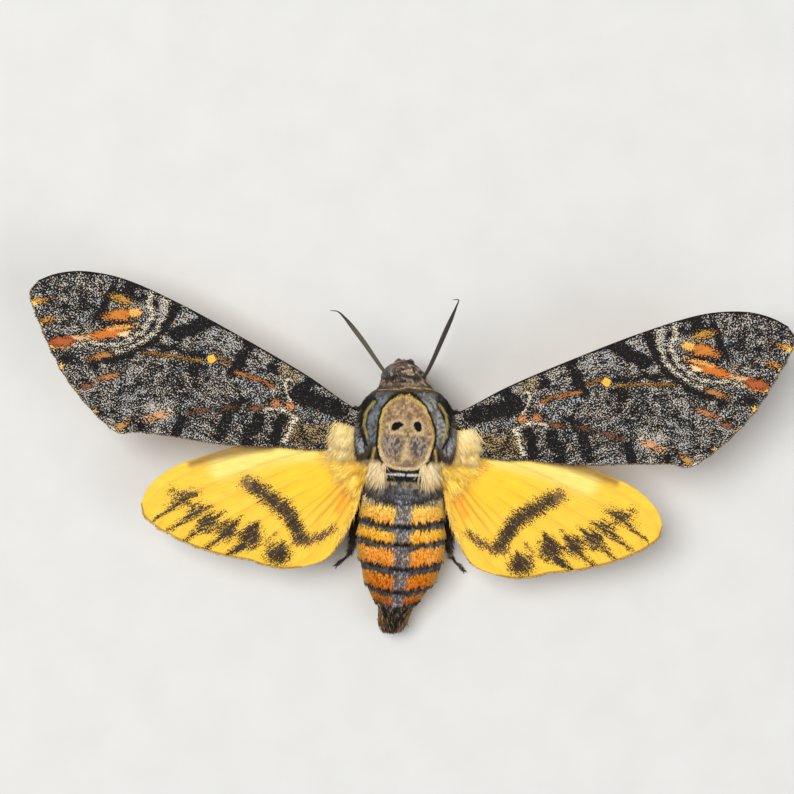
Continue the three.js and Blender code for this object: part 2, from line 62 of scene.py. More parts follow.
TRUNK = [  # y, x and z of the middle, half width, half height, squareness, depth of the coat
    (10.35, -0.78, 8.75, 0.1, 0.1, 2.0, 0.05),
    (10.2, -0.78, 8.75, 0.9, 0.95, 2.0, 0.2),
    (9.9, -0.75, 8.8, 1.5, 1.6, 2.0, 0.35),
    (9.3, -0.7, 8.95, 2.6, 2.6, 2.0, 0.45),
    (8.2, -0.6, 9.3, 3.3, 3.3, 2.1, 0.45),
    (7.2, -0.4, 9.5, 3.8, 3.7, 2.1, 0.45),
    (6.2, -0.2, 9.75, 4.35, 4.15, 2.1, 0.45),
    (5.2, 0, 10.1, 5.6, 5.2, 2.3, 0.45),
    (3.0, 0, 10.3, 6.6, 6.1, 2.4, 0.45),
    (0, 0, 10.4, 6.8, 6.3, 2.4, 0.45),
    (-3.5, 0, 10.3, 6.5, 6.0, 2.3, 0.45),
    (-6, 0, 10.1, 5.7, 5.2, 2.3, 0.45),
    (-7, 0, 9.8, 5.4, 4.9, 2.3, 0.45),
    (-10, 0, 8.9, 6.2, 5.4, 2.2, 0.35),
    (-14, 0, 7.6, 6.6, 5.6, 2.2, 0.35),
    (-17.5, 0, 6.4, 6.8, 5.6, 2.2, 0.35),
    (-21.5, 0.1, 5.15, 6.1, 5.4, 2.2, 0.35),
    (-24.5, -0.2, 4.5, 4.8, 4.4, 2.1, 0.4),
    (-27, -0.4, 4.1, 3.2, 3.2, 2.0, 0.5),
    (-29, -0.7, 3.9, 2.5, 2.2, 2.0, 0.5),
    (-30.4, -1.0, 3.75, 1.6, 1.4, 2.0, 0.5),
    (-30.9, -1.05, 3.7, 0.8, 0.7, 2.0, 0.5),
]
RING_EDGES = (-7.2, -10.6, -14.2, -16.9, -20.7, -24.4, -27.2, -31)
MARK_OUTLINE = [
    (-0.7, 5.15), (-2.2, 4.5), (-3.3, 3.2), (-3.8, 1.5), (-3.9, -0.5), (-4, -2.5), (-3.6, -4.2),
    (-2.8, -5.4), (-1.4, -5.9), (0, -6.05), (1.5, -6), (2.8, -5.4), (3.6, -4.4), (4, -3), (4.4, -1),
    (4.1, 0.5), (3.4, 2.2), (2.7, 3.6), (1.6, 4.6), (0.4, 5.1),
]


def run_along(points):
    """The length along a path up to each of its points."""
    return np.r_[0, np.cumsum(np.linalg.norm(np.diff(points, axis=0), axis=1))]


def smooth_path(points, count):
    """Evenly spaced points on a smooth curve through the given ones."""
    p = np.asarray(points, float)
    p = np.vstack([2 * p[0] - p[1], p, 2 * p[-1] - p[-2]])
    t = np.linspace(0, 1, 41)[:, None]
    stretches = []
    for a, b, c, d in zip(p, p[1:], p[2:], p[3:]):
        before, here, after = (np.linalg.norm(v) ** 0.5 for v in (b - a, c - b, d - c))
        leave = ((b - a) / before - (c - a) / (before + here) + (c - b) / here) * here
        arrive = ((c - b) / here - (d - b) / (here + after) + (d - c) / after) * here
        ends = (2 * t**3 - 3 * t**2 + 1) * b + (3 * t**2 - 2 * t**3) * c
        stretches.append(ends + (t**3 - 2 * t**2 + t) * leave + (t**3 - t**2) * arrive)
    fine = np.vstack(stretches)
    run = run_along(fine)
    at = np.linspace(0, run[-1], count)
    return np.stack([np.interp(at, run, column) for column in fine.T], axis=1)


def unit(vectors):
    return vectors / np.maximum(np.linalg.norm(vectors, axis=-1, keepdims=True), 1e-9)


def facing(points, closed=True):
    """The outward direction at each point of a grid of rows and columns."""
    if closed:
        across = np.roll(points, -1, 1) - np.roll(points, 1, 1)
    else:
        across = np.gradient(points, axis=1)
    return unit(np.cross(across, np.gradient(points, axis=0)))


def quads(rows, columns, closed=True):
    """The faces of a grid, and the place of each face's corners on its unwrap."""
    spans = columns if closed else columns - 1
    i, j = (v.ravel() for v in np.meshgrid(np.arange(rows - 1), np.arange(spans), indexing="ij"))
    down = np.stack([i, i, i + 1, i + 1], 1)
    around = np.stack([j, j + 1, j + 1, j], 1)
    unwrap = np.stack([around / spans, down / (rows - 1)], -1)
    return down * columns + around % columns, unwrap.reshape(-1, 2)


def build(name, points, faces, unwrap, finishes, fields, finish_of_face=None):
    """A mesh from points in mm, with its OFBake unwrap and what its finish reads at each point."""
    mesh = bpy.data.meshes.new(name)
    corners = np.concatenate([f.ravel() for f in faces])
    sizes = np.concatenate([np.full(len(f), f.shape[1]) for f in faces])
    mesh.vertices.add(len(points))
    mesh.vertices.foreach_set("co", ((points + AHEAD) * MM).ravel())
    mesh.loops.add(len(corners))
    mesh.loops.foreach_set("vertex_index", corners)
    mesh.polygons.add(len(sizes))
    mesh.polygons.foreach_set("loop_start", np.r_[0, np.cumsum(sizes)[:-1]])
    if finish_of_face is not None:
        mesh.polygons.foreach_set("material_index", finish_of_face)
    mesh.update(calc_edges=True)
    mesh.shade_smooth()
    if len(unwrap) != len(corners):
        unwrap = unwrap[corners]
    mesh.uv_layers.new(name="OFBake").uv.foreach_set("vector", unwrap.astype(np.float32).ravel())
    for field, values in fields.items():
        values = np.asarray(values, float)
        if values.ndim == 1:
            mesh.attributes.new(field, "FLOAT", "POINT").data.foreach_set("value", values)
        elif field == "fibre":
            mesh.attributes.new(field, "FLOAT_VECTOR", "POINT").data.foreach_set("vector", values.ravel())
        else:
            colour = np.c_[values, np.ones(len(values))]
            mesh.attributes.new(field, "FLOAT_COLOR", "POINT").data.foreach_set("color", colour.ravel())
    for finish in finishes:
        mesh.materials.append(finish)
    piece = bpy.data.objects.new(name, mesh)
    bpy.context.scene.collection.objects.link(piece)
    return piece


def build_closed(name, skin, finish, fields):
    """A closed tube or egg from its grid, with both ends capped."""
    rows, columns = skin.shape[:2]
    sides, unwrap = quads(rows, columns)
    ends = [np.arange(columns)[None, ::-1], np.arange(columns)[None] + (rows - 1) * columns]
    unwrap = np.vstack([unwrap, np.full((columns, 2), 0.001), np.full((columns, 2), 0.999)])
    return build(name, skin.reshape(-1, 3), [sides, *ends], unwrap, [finish], fields)


def stroke(at, points, width):
    """How far, in mm, each place lies outside a brush stroke; a pair of widths tapers it."""
    points = np.asarray(points, float)
    widths = np.linspace(*width, len(points)) if isinstance(width, tuple) else np.full(len(points), width)
    nearest = np.full(len(at), 99.0)
    for a, b, wide_a, wide_b in zip(points, points[1:], widths, widths[1:]):
        share = np.clip((at - a) @ (b - a) / ((b - a) @ (b - a)), 0, 1)
        away = np.linalg.norm(at - a - share[:, None] * (b - a), axis=1)
        nearest = np.minimum(nearest, away - (wide_a + (wide_b - wide_a) * share) / 2)
    return nearest


def spot(at, centre, radii, turn=0):
    """Roughly how far, in mm, each place lies outside an oval spot."""
    x, y = (at - np.asarray(centre, float)).T
    c, s = math.cos(math.radians(turn)), math.sin(math.radians(turn))
    return (np.hypot((x * c + y * s) / radii[0], (y * c - x * s) / radii[1]) - 1) * min(radii)


def patch(at, outline):
    """How far, in mm, each place lies outside a closed outline, less than 0 inside it."""
    outline = np.asarray(outline, float)
    inside = np.zeros(len(at), bool)
    for (ax, ay), (bx, by) in zip(outline, np.roll(outline, -1, 0)):
        crosses = (ay > at[:, 1]) != (by > at[:, 1])
        inside ^= crosses & (at[:, 0] < ax + (at[:, 1] - ay) * (bx - ax) / ((by - ay) or 1e-9))
    return stroke(at, np.vstack([outline, outline[:1]]), 0) * np.where(inside, -1, 1)


def ramp(value, start, end):
    """0 before start, 1 after end, and smooth between them."""
    t = np.clip((value - start) / (end - start), 0, 1)
    return t * t * (3 - 2 * t)


def inked(distance, blur):
    """1 inside a mark and 0 outside it, over a soft edge."""
    return ramp(-distance, -blur / 2, blur / 2)


def hue(red, green, blue):
    """A colour as the eye reads it, from 0 to 255, in the linear values that finishes use."""
    c = np.array([red, green, blue]) / 255
    return np.where(c <= 0.04045, c / 12.92, ((c + 0.055) / 1.055) ** 2.4)


def paint(colour, *layers):
    """A ground colour under layers, each a colour and how much of it lies at each place."""
    colour = hue(*colour) if isinstance(colour, tuple) else colour
    for tone, share in layers:
        tone = hue(*tone) if isinstance(tone, tuple) else tone
        colour = colour + (tone - colour) * np.reshape(share, (-1, 1))
    return colour


def mottle(points, size, seed):
    """Soft random patches of about the given size in mm, from 0 to 1."""
    table = np.random.default_rng(seed).random((32, 32, 32))
    at = points / size + 640
    cell = np.floor(at).astype(int)
    part = at - cell
    part = part * part * (3 - 2 * part)
    total = np.zeros(len(points))
    for corner in itertools.product((0, 1), repeat=3):
        i, j, k = ((cell + corner) % 32).T
        total += np.prod(np.where(corner, part, 1 - part), axis=1) * table[i, j, k]
    return total


def flecks(points, size, seed, start, end):
    """Random patches: 0 where the mottling is below start, 1 where it is above end."""
    return ramp(mottle(points, size, seed), start, end)


def head_colour(at, points, colour):
    """Tan and brown mottled fur with a dark line over the brow, and painted blue-grey highlights by the left
    eye.
    """
    head = ramp(at[:, 1], 6.4, 6.9)
    brow = stroke(at, [(-3, 7.6), (-1, 7.9), (1.5, 7.7)], 0.4)
    temples = [spot(at, centre, (0.6, 0.5)) for centre in [(-2.5, 7.6), (1, 7.7)]]
    # Painted highlight: two blue-grey patches by the left eye stand for light shining there.
    bluish_highlights = [spot(at, centre, (0.6, 0.45)) for centre in [(-3.2, 8.2), (-2.6, 9)]]
    return paint(
        colour,
        ((104, 90, 79), ramp(at[:, 1], 6.2, 6.7)),
        ((52, 43, 38), 0.9 * head * flecks(points, 0.4, 11, 0.44, 0.6)),
        ((186, 164, 142), head * flecks(points, 0.36, 12, 0.52, 0.7)),
        ((146, 118, 100), 0.5 * head * flecks(points, 1.3, 13, 0.5, 0.8)),
        ((56, 47, 42), 0.8 * inked(brow, 0.4)),
        *[((48, 40, 37), 0.8 * inked(away, 0.4)) for away in temples],
        *[((112, 116, 128), 0.75 * inked(away, 0.6)) for away in bluish_highlights],
    )


def mark_colour(at, points, colour):
    """The skull-like mark on the thorax: a brown field in a yellow rim, dark and grey hollows."""
    edge = patch(at, MARK_OUTLINE) + (mottle(points, 0.35, 21) - 0.5) * 0.22
    cheek = paint((86, 75, 72), ((180, 162, 146), flecks(points * (1, 0.5, 1), 0.22, 24, 0.35, 0.68)))
    nose = patch(at, [(0.15, -1.2), (-0.75, -4.9), (1.2, -4.9), (0.4, -1.2)])
    under_eyes = [(-2.1, -0.45), (-1, -0.35), (-0.1, -0.55)], [(0.8, -0.5), (1.7, -0.4), (2.6, -0.5)]
    field = paint(
        (180, 150, 112),
        ((136, 106, 80), 0.85 * flecks(points, 0.42, 22, 0.45, 0.68)),
        ((216, 190, 150), 0.7 * flecks(points, 0.4, 23, 0.55, 0.75)),
        (cheek, 0.9 * inked(spot(at, (-1.95, -2.2), (1.6, 1.7)), 1.1)),
        (cheek * 1.08, 0.9 * inked(spot(at, (1.95, -2.2), (1.45, 1.75)), 1.1)),
        ((220, 194, 144), 0.85 * inked(nose, 0.6)),
        *[((212, 186, 134), inked(stroke(at, path, 0.5), 0.4)) for path in under_eyes],
    )
    for eye_hole in (
        [(-2.05, 0.05), (-1.95, 0.7), (-1.55, 1.15), (-1, 1.2), (-0.4, 0.95), (-0.35, 0.8), (-0.8, 0.6),
         (-1.1, 0.2), (-1.6, 0)],
        [(1.2, 0.85), (1.45, 1.3), (1.85, 1.4), (2.2, 1.1), (2.3, 0.5), (2.2, 0.05), (1.8, -0.05),
         (1.45, 0.35)],
    ):
        away = patch(at, eye_hole)
        lit, dark = 0.75 * inked(away - 0.5, 0.6), inked(away - 0.08, 0.14)
        field = paint(field, ((218, 194, 148), lit), ((7, 5, 5), dark))
    right_side = stroke(at, [(3.2, 1.8), (4.2, 0.3), (4.5, -1.5), (4.1, -3.5)], 0.4)
    low = ramp(-at[:, 1], 1.5, 3.5)
    rim = paint((224, 190, 104), ((236, 212, 164), low))
    field = paint(
        field,
        ((146, 116, 100), 0.8 * inked(spot(at, (0.4, -5.1), (0.65, 0.85)), 0.4)),
        (rim, 0.9 * ramp(edge + 0.4 + 0.12 * low, -0.2, 0.16)),
        ((176, 134, 66), 0.8 * inked(right_side, 0.3)),
    )
    return paint(colour, ((22, 18, 17), inked(edge - 0.3, 0.3)), (field, inked(edge, 0.16)))


def thorax_colour(at, points, colour):
    """Black-brown fur with blue-grey bands, olive lines and pale streaks beside the mark, and a painted glint
    across the waist.
    """
    x, y = at.T
    across = np.abs(x)
    streaked = flecks(points * (1, 0.25, 1), 0.2, 32, 0.3, 0.75)
    dusty = 0.35 + 0.65 * flecks(points, 0.35, 31, 0.3, 0.65)
    pale = 0.85 * ramp(streaked, 0.1, 0.6)
    outer_side = ramp(across, 6.3, 6.7)
    low_side = inked(np.abs(y + 4) - 1.6, 0.8) * ramp(across, 3.9, 4.4)
    fore = ramp(y, 4.3, 5.2)
    beside = np.abs(patch(at, MARK_OUTLINE) - 1.12) - 0.72
    band = inked(beside, 0.3) * ramp(y, -3.6, -1.6) * ramp(across, 0.7, 1.9)
    grey = paint((132, 137, 138), ((170, 170, 162), ramp(x, -2, 3)))
    colour = paint(
        colour,
        ((142, 126, 112), outer_side),
        ((50, 42, 38), 0.8 * outer_side * streaked),
        ((72, 64, 58), fore),
        ((106, 94, 82), 0.7 * fore * flecks(points, 0.4, 33, 0.5, 0.7)),
        (grey, dusty * band * (1 - ramp(y, 4.9, 5.4))),
        ((84, 70, 56), 0.8 * low_side),
    )
    for side in (-1, 1):
        for tone, share, path, width, blur in (
            ((176, 158, 92), 0.9, [(5.0, 4.1), (5.85, 2.5), (6.1, 0.6), (5.7, -1.2)], 0.3, 0.2),
            ((20, 18, 18), 1, [(5.8, 4.2), (6.45, 2), (6.45, -0.5), (5.7, -2.4)], 0.35, 0.2),
            ((196, 198, 202), pale, [(7.1, 0.4), (6.9, -1.2), (6.2, -3)], 0.8, 0.5),
            ((212, 176, 96), 0.9, [(4.5, -2.8), (4.8, -4.7)], 0.35, 0.3),
        ):
            colour = paint(colour, (tone, share * inked(stroke(at * (side, 1), path, width), blur)))
    collar = inked(np.abs(y - 5.85) - 0.6, 0.4)
    yellow = stroke(at, [(-3.6, 5.6), (-1, 5.9), (0, 6.35), (2.5, 6.1), (4.3, 5.9)], 0.25)
    # Painted glint: two white strokes across the waist stand for light shining on the smooth chitin between
    # thorax and abdomen.
    glint_bars = [stroke(at, ends, 0.38) for ends in ([(-2.5, -6.62), (0, -6.68)], [(0.6, -6.7), (3.5, -6.6)])]
    return paint(
        colour,
        ((76, 68, 62), collar),
        ((112, 98, 84), 0.7 * collar * flecks(points, 0.4, 34, 0.5, 0.7)),
        ((204, 168, 84), 0.85 * inked(yellow, 0.2)),
        ((20, 17, 17), inked(np.abs(y + 6.9) - 0.7, 0.3) * inked(across - 3.7, 0.5)),
        ((224, 221, 214), inked(np.minimum(*glint_bars), 0.15)),
        ((236, 212, 164), 0.9 * ramp(across, 2.9, 3.6) * inked(np.abs(y + 6.3) - 1.6, 0.8)),
    )


def abdomen_colour(at, points, colour):
    """Golden bands, each edged in black and grey, with a blue-grey stripe down the back."""
    x, y = at.T
    middle, half = (np.interp(-y, [-row[0] for row in TRUNK], [row[k] for row in TRUNK]) for k in (1, 3))
    away = np.abs(x - middle) / half
    level = y - 0.9 * np.clip(away, 0, 1.1) ** 1.2 + (mottle(points * (1, 0.2, 1), 0.2, 41) - 0.5) * 0.9
    dusty = mottle(points, 0.5, 42)
    pale = flecks(points * (1, 0.4, 1), 0.3, 46, 0.6, 0.8)
    on = ramp(-y, 7.6, 8.2)
    colour = paint(
        colour,
        ((70, 65, 64), on),
        ((112, 108, 104), on * 0.8 * ramp(dusty, 0.45, 0.75)),
        ((164, 144, 104), 0.8 * inked(np.abs(y + 8.3) - 0.5, 0.4) * ramp(dusty, 0.3, 0.5)),
    )
    for start, end, near, far, darker, flecked in (
        (-11.7, -14.1, (255, 214, 100), (250, 176, 58), 0.5, 0.3),
        (-15.5, -17.1, (255, 200, 58), (246, 168, 38), 0.5, 0.3),
        (-18.3, -20.7, (254, 176, 62), (230, 134, 26), 0.5, 0.3),
        (-22.3, -24.5, (240, 146, 16), (206, 104, 4), 0.9, 0.12),
        (-25.8, -27.1, (206, 112, 14), (160, 80, 12), 0.9, 0.12),
    ):
        band = ramp(-level, -start - 0.12, -start + 0.12) * ramp(level, end - 0.1, end + 0.1)
        tone = paint(near, (far, np.clip((start - level) / (start - end), 0, 1)))
        tone = paint(
            tone,
            (tone * 0.6, darker * ramp(dusty, 0.5, 0.8)),
            ((255, 224, 160), flecked * pale),
            ((186, 150, 62), 0.6 * ramp(away, 0.75, 1.0)),
        )
        colour = paint(colour, (tone, band), ((24, 20, 19), inked(np.abs(level - end + 0.22) - 0.16, 0.18)))
    width = np.interp(-y, [8, 20, 27], [1.25, 1.2, 0.8])
    stripe = inked(np.abs(x - middle - 0.12) - width + (mottle(points, 0.35, 43) - 0.5) * 0.7, 0.6)
    blue_grey = paint(
        (88, 90, 94),
        ((164, 166, 168), flecks(points, 0.28, 45, 0.5, 0.72)),
        *[((24, 21, 21), inked(np.abs(y - edge + 0.35) - 0.42, 0.4)) for edge in RING_EDGES[2:6]],
    )
    tail = paint(
        (24, 20, 18),
        ((124, 92, 58), ramp(away, 0.65, 0.95)),
        ((150, 122, 84), 0.7 * flecks(points * (1, 0.6, 1), 0.24, 44, 0.58, 0.72)),
    )
    stripe = 0.9 * stripe * (0.4 + 0.6 * ramp(-y, 9, 11)) * on
    return paint(colour, (blue_grey, stripe), (tail, ramp(-y, 27, 27.6)))


def trunk_colour(points, normals):
    """The fur's colour anywhere on the trunk, the same on the skin and on the locks over it."""
    at = points[:, :2]
    colour = (36, 32, 31)
    for part_colour in (thorax_colour, mark_colour, head_colour, abdomen_colour):
        colour = part_colour(at, points, colour)
    below = paint(
        (176, 140, 86),
        ((120, 96, 70), flecks(points, 1.1, 51, 0.4, 0.7)),
        ((214, 176, 104), ramp(-at[:, 1], 7.5, 9) * 0.9),
    )
    flank = np.where(at[:, 1] > 6.3, 0.4, 1) * ramp(-normals[:, 2], -0.12, 0.3) * ramp(at[:, 1], -30, -28)
    return paint(colour, (below, flank))


rows = smooth_path(TRUNK, 262)
turn = np.linspace(0, 2 * math.pi, 144, endpoint=False)
y, x, z, wide, high, square, coat_depth = (column[:, None] for column in rows.T)
swing = [np.sign(v) * np.abs(v) ** (2 / square) for v in (np.sin(turn), np.cos(turn))]
trunk = np.stack([
    x + np.maximum(wide - coat_depth, 0.04) * swing[0],
    y + 0 * turn,
    z - np.maximum(high - coat_depth, 0.04) * swing[1],
], -1)
on_back = ramp(-np.cos(turn), 0, 0.4)
mark_edge = patch(trunk.reshape(-1, 3)[:, :2], MARK_OUTLINE).reshape(trunk.shape[:2])
level = trunk[..., 1] - 0.9 * np.abs(np.sin(turn))
edges = np.array(RING_EDGES)
ring = np.clip(np.searchsorted(-edges, -level), 1, 7)
start, end = edges[ring - 1], edges[ring]
on_rings = ramp(-level, 7.4, 9) * ramp(level, -28.5, -27)
relief = 0.3 * np.clip((start - level) / (start - end), 0, 1) ** 2 * on_rings
on_thorax = on_back * ramp(trunk[..., 1], -7, -6.2) * ramp(-trunk[..., 1], -5.6, -5.0)
relief = relief - 0.25 * np.exp(-(((mark_edge - 0.2) / 0.22) ** 2)) * on_thorax
relief = relief - 0.25 * np.exp(-(((mark_edge - 2.55) / 0.35) ** 2)) * on_thorax
trunk = trunk + facing(trunk) * relief[..., None]
trunk[..., 2] = np.maximum(trunk[..., 2], 0.35)
trunk_out = facing(trunk)


class Shade:
    """A socket of a finish. Sums on it add Math nodes, and node() adds any other node."""

    def __init__(self, tree, socket=None):
        self.tree = tree
        self.socket = socket

    def node(self, kind, settings=None, sockets=None, out=0):
        added = self.tree.nodes.new("ShaderNode" + kind)
        for name, value in (settings or {}).items():
            setattr(added, name, value)
        for name, value in (sockets or {}).items():
            self.feed(added, name, value)
        return Shade(self.tree, added.outputs[out])

    def feed(self, node, name, value):
        entry = node.inputs[name]
        if isinstance(value, Shade):
            self.tree.links.new(value.socket, entry)
        elif isinstance(value, np.ndarray):
            entry.default_value = (*value, 1) if len(entry.default_value) == 4 else tuple(value)
        else:
            entry.default_value = value

    def maths(self, operation, first, second):
        return self.node("Math", {"operation": operation}, {0: first, 1: second})

    def at_least(self, lowest):
        return self.maths("MAXIMUM", self, lowest)

    def __add__(self, other):
        return self.maths("ADD", self, other)

    def __sub__(self, other):
        return self.maths("SUBTRACT", self, other)

    def __rsub__(self, other):
        return self.maths("SUBTRACT", other, self)

    def __mul__(self, other):
        return self.maths("MULTIPLY", self, other)

    __radd__ = __add__
    __rmul__ = __mul__

    def read(self, field, out=0):
        """A field of the mesh: 0 as a colour, 1 as a vector, 2 as a number."""
        return self.node("Attribute", {"attribute_name": field}, out=out)

    def speckle(self, size, detail=2.0, stretch=None):
        """Soft noise over this vector, in patches of about the given size."""
        place = self
        if stretch is not None:
            place = self.node("VectorMath", {"operation": "MULTIPLY"}, {0: self, 1: stretch})
        return place.node("TexNoise", {}, {"Vector": place, "Scale": 0.5 / size, "Detail": detail})

    def rise(self, start, end):
        """0 before start, 1 after end, and smooth between them."""
        return self.node("MapRange", {"interpolation_type": "SMOOTHSTEP"}, {0: self, 1: start, 2: end})

    def between(self, first, second):
        """The first colour where this is 0, the second where it is 1."""
        return self.node("Mix", {"data_type": "RGBA"}, {0: self, 6: first, 7: second}, 2)

    def spread_out(self):
        """Noises averaged about 0 have a narrow range; this widens it and centres it on a half."""
        return self * 1.5 + 0.5

    def dusting(self, cover, soft=0.14):
        """Where this noise drops scales, when cover says what share of the surface they take."""
        # Nearly all of the noise lies between 0.28 and 0.72.
        return (self.rise(0.28, 0.72) + cover * (1 + 2 * soft)).rise(1, 1 + 2 * soft)

    def shaded(self, amount):
        """This colour made darker or lighter by a number."""
        return self.node("VectorMath", {"operation": "SCALE"}, {0: self, "Scale": amount})

    def bump(self, strength, depth_mm):
        return self.node("Bump", {}, {"Height": self, "Strength": strength, "Distance": depth_mm * MM})


def new_finish(name):
    """An empty finish: the material, a shade to start its nodes from, and what sets its surface."""
    finish = bpy.data.materials.new(name)
    finish.use_nodes = True
    shade = Shade(finish.node_tree)
    surface = finish.node_tree.nodes["Principled BSDF"]

    def coat_with(values):
        for name, value in values.items():
            shade.feed(surface, name, value)

    return finish, shade, coat_with


def skin_finish(name):
    """Short flat fur on the skin itself: the coat's colours, darker, with streaks that run rearwards."""
    finish, shade, coat_with = new_finish(name)
    place = shade.node("TexCoord", out=3)
    streaks = place.speckle(0.10 * MM, 3, (1, 0.22, 1))
    tufts = place.speckle(0.4 * MM, 2)
    colour = shade.read("tint").shaded(0.45 + streaks * 0.4 + tufts * 0.25)
    coat_with({
        "Base Color": colour,
        "Roughness": 0.75 + streaks * 0.2,
        "Specular IOR Level": 0.25,
        "Normal": (streaks + tufts * 0.6).bump(0.7, 0.12),
    })
    return finish


trunk_skin = build_closed("trunk_skin", trunk, skin_finish("trunk_short_fur"), {
    "tint": trunk_colour(trunk.reshape(-1, 3), trunk_out.reshape(-1, 3)),
})
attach(trunk_skin, "root")
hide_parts("head", "collar", "thorax", "abdomen", "tail_tuft")


# The trunk's coat is dense hair and scales, short and smooth over the back and longer on the breast
# and tail. It grows from the skin in thousands of small locks that lie rearwards over each other,
# each in the colour of the mark or band that it grows from.
def sow(skin, zone, count, rng, closed):
    """Places spread evenly over the part of a grid where zone is not 0, as row and column."""
    down = skin[1:] - skin[:-1]
    across = np.roll(skin, -1, 1) - skin
    area = np.linalg.norm(np.cross(down, across[:-1]), axis=-1) * zone[:-1]
    if not closed:
        area = area[:, :-1]
    reach = np.cumsum(area.ravel())
    pick = np.searchsorted(reach, (np.arange(count) + rng.random(count)) / count * reach[-1])
    row, column = np.divmod(np.minimum(pick, area.size - 1), area.shape[1])
    return row + rng.random(count), column + rng.random(count)


def take(grid_values, row, column):
    """A grid's value at places between its points."""
    i, j = row.astype(int), column.astype(int)
    a, b = (row - i)[:, None], (column - j)[:, None]
    j2 = (j + 1) % grid_values.shape[1]
    near = grid_values[i, j] * (1 - b) + grid_values[i, j2] * b
    far = grid_values[i + 1, j] * (1 - b) + grid_values[i + 1, j2] * b
    return near * (1 - a) + far * a


ROOT_DEPTH = 0.1  # how far below the skin a lock starts


def comb(root, normal, lie, length, width, lift, curl, rings, ridge=0.4):
    """Locks, each a thin ridged blade that leaves the skin, lies along it and bends back down."""
    count = len(root)
    lie = unit(lie - normal * (lie * normal).sum(1, keepdims=True))
    side = np.cross(normal, lie)
    length, width, lift = (np.broadcast_to(v, count)[:, None] for v in (length, width, lift))
    shares = {2: (0, 0.5), 3: (0, 0.35, 0.7)}[rings]
    tapers = {2: (0.8, 1), 3: (0.7, 1, 0.7)}[rings]
    points = []
    for share, taper in zip(shares, tapers):
        middle = root + length * (lie * share + normal * lift * (share - curl * share**2))
        middle = middle - normal * (ROOT_DEPTH if share == 0 else 0)
        points += [middle + side * width * taper / 2, middle - side * width * taper / 2]
        points.append(middle + normal * width * taper * ridge)
    points.append(root + length * (lie + normal * lift * (1 - curl)))
    faces = [(0, 1, 2)]
    for k in range(0, 3 * rings - 3, 3):
        faces += [(k, k + 4, k + 1), (k, k + 3, k + 4), (k + 1, k + 5, k + 2)]
        faces += [(k + 1, k + 4, k + 5), (k + 2, k + 3, k), (k + 2, k + 5, k + 3)]
    last, tip = 3 * rings - 3, 3 * rings
    faces += [(last, tip, last + 1), (last + 1, tip, last + 2), (last + 2, tip, last)]
    blades = np.array(faces)[None] + (np.arange(count) * (tip + 1))[:, None, None]
    share = np.tile(np.r_[np.repeat(shares, 3), 1], count)
    side_of = np.tile(np.r_[np.tile([1, -1, 0], rings), 0], count)
    return np.stack(points, 1).reshape(-1, 3), blades.reshape(-1, 3), share, side_of


def coat(name, skin, out, zone, count, seed, flow, length, width, lift, colour, finish,
         rings=2, closed=True, stray=0.2, curl=0.6, ridge=0.4, vary=0.24):
    """Locks over part of a skin's grid, as one piece."""
    rng = np.random.default_rng(seed)
    row, column = sow(skin, zone, count, rng, closed)
    root, normal = take(skin, row, column), unit(take(out, row, column))
    lie = unit(flow(root)) + rng.normal(0, stray, root.shape)
    long = (length(root) if callable(length) else length) * rng.uniform(0.7, 1.3, count)
    rise = lift * rng.uniform(0.5, 1.5, count)
    points, blades, share, side_of = comb(root, normal, lie, long, width, rise, curl, rings, ridge)
    points[:, 2] = np.maximum(points[:, 2], 0.03)
    middle = root + unit(lie) * long[:, None] * 0.5
    tint = colour(middle, normal) * rng.uniform(1 - vary, 1 + vary, (count, 1))
    places = np.stack([column / skin.shape[1], row / (skin.shape[0] - 1)], 1)
    each = len(points) // count
    unwrap = np.repeat(places, each, axis=0) + np.stack([side_of * 0.0015, share * 0.003], 1)
    fields = {"tint": np.repeat(tint, each, axis=0), "share": share}
    piece = build(name, points, [blades], np.clip(unwrap, 0, 1), [finish], fields)
    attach(piece, "root")


def fur_finish(name, rough, sheen, depth=0.5):
    """Hair: dark at the root, full colour at the tip, a soft gloss along each lock."""
    finish, shade, coat_with = new_finish(name)
    share = shade.read("share", 2)
    strands = shade.node("TexCoord", out=3).speckle(0.05 * MM, 2)
    colour = shade.read("tint").shaded((1.2 - depth) + share.rise(0, 0.7) * depth + (strands - 0.5) * 0.5)
    coat_with({
        "Base Color": colour,
        "Roughness": rough + strands * 0.15,
        "Specular IOR Level": 0.18,
        "Sheen Weight": sheen,
        "Sheen Roughness": 0.45,
    })
    return finish


def rearwards(root):
    """Hair lies towards the tail and a little away from the middle."""
    return np.stack([root[:, 0] * 0.05, -np.ones(len(root)), -0.02 * root[:, 0] ** 2], 1)


def tail_length(root):
    return np.interp(-root[:, 1], [26.5, 29, 30.5], [1.4, 2.2, 1.1])


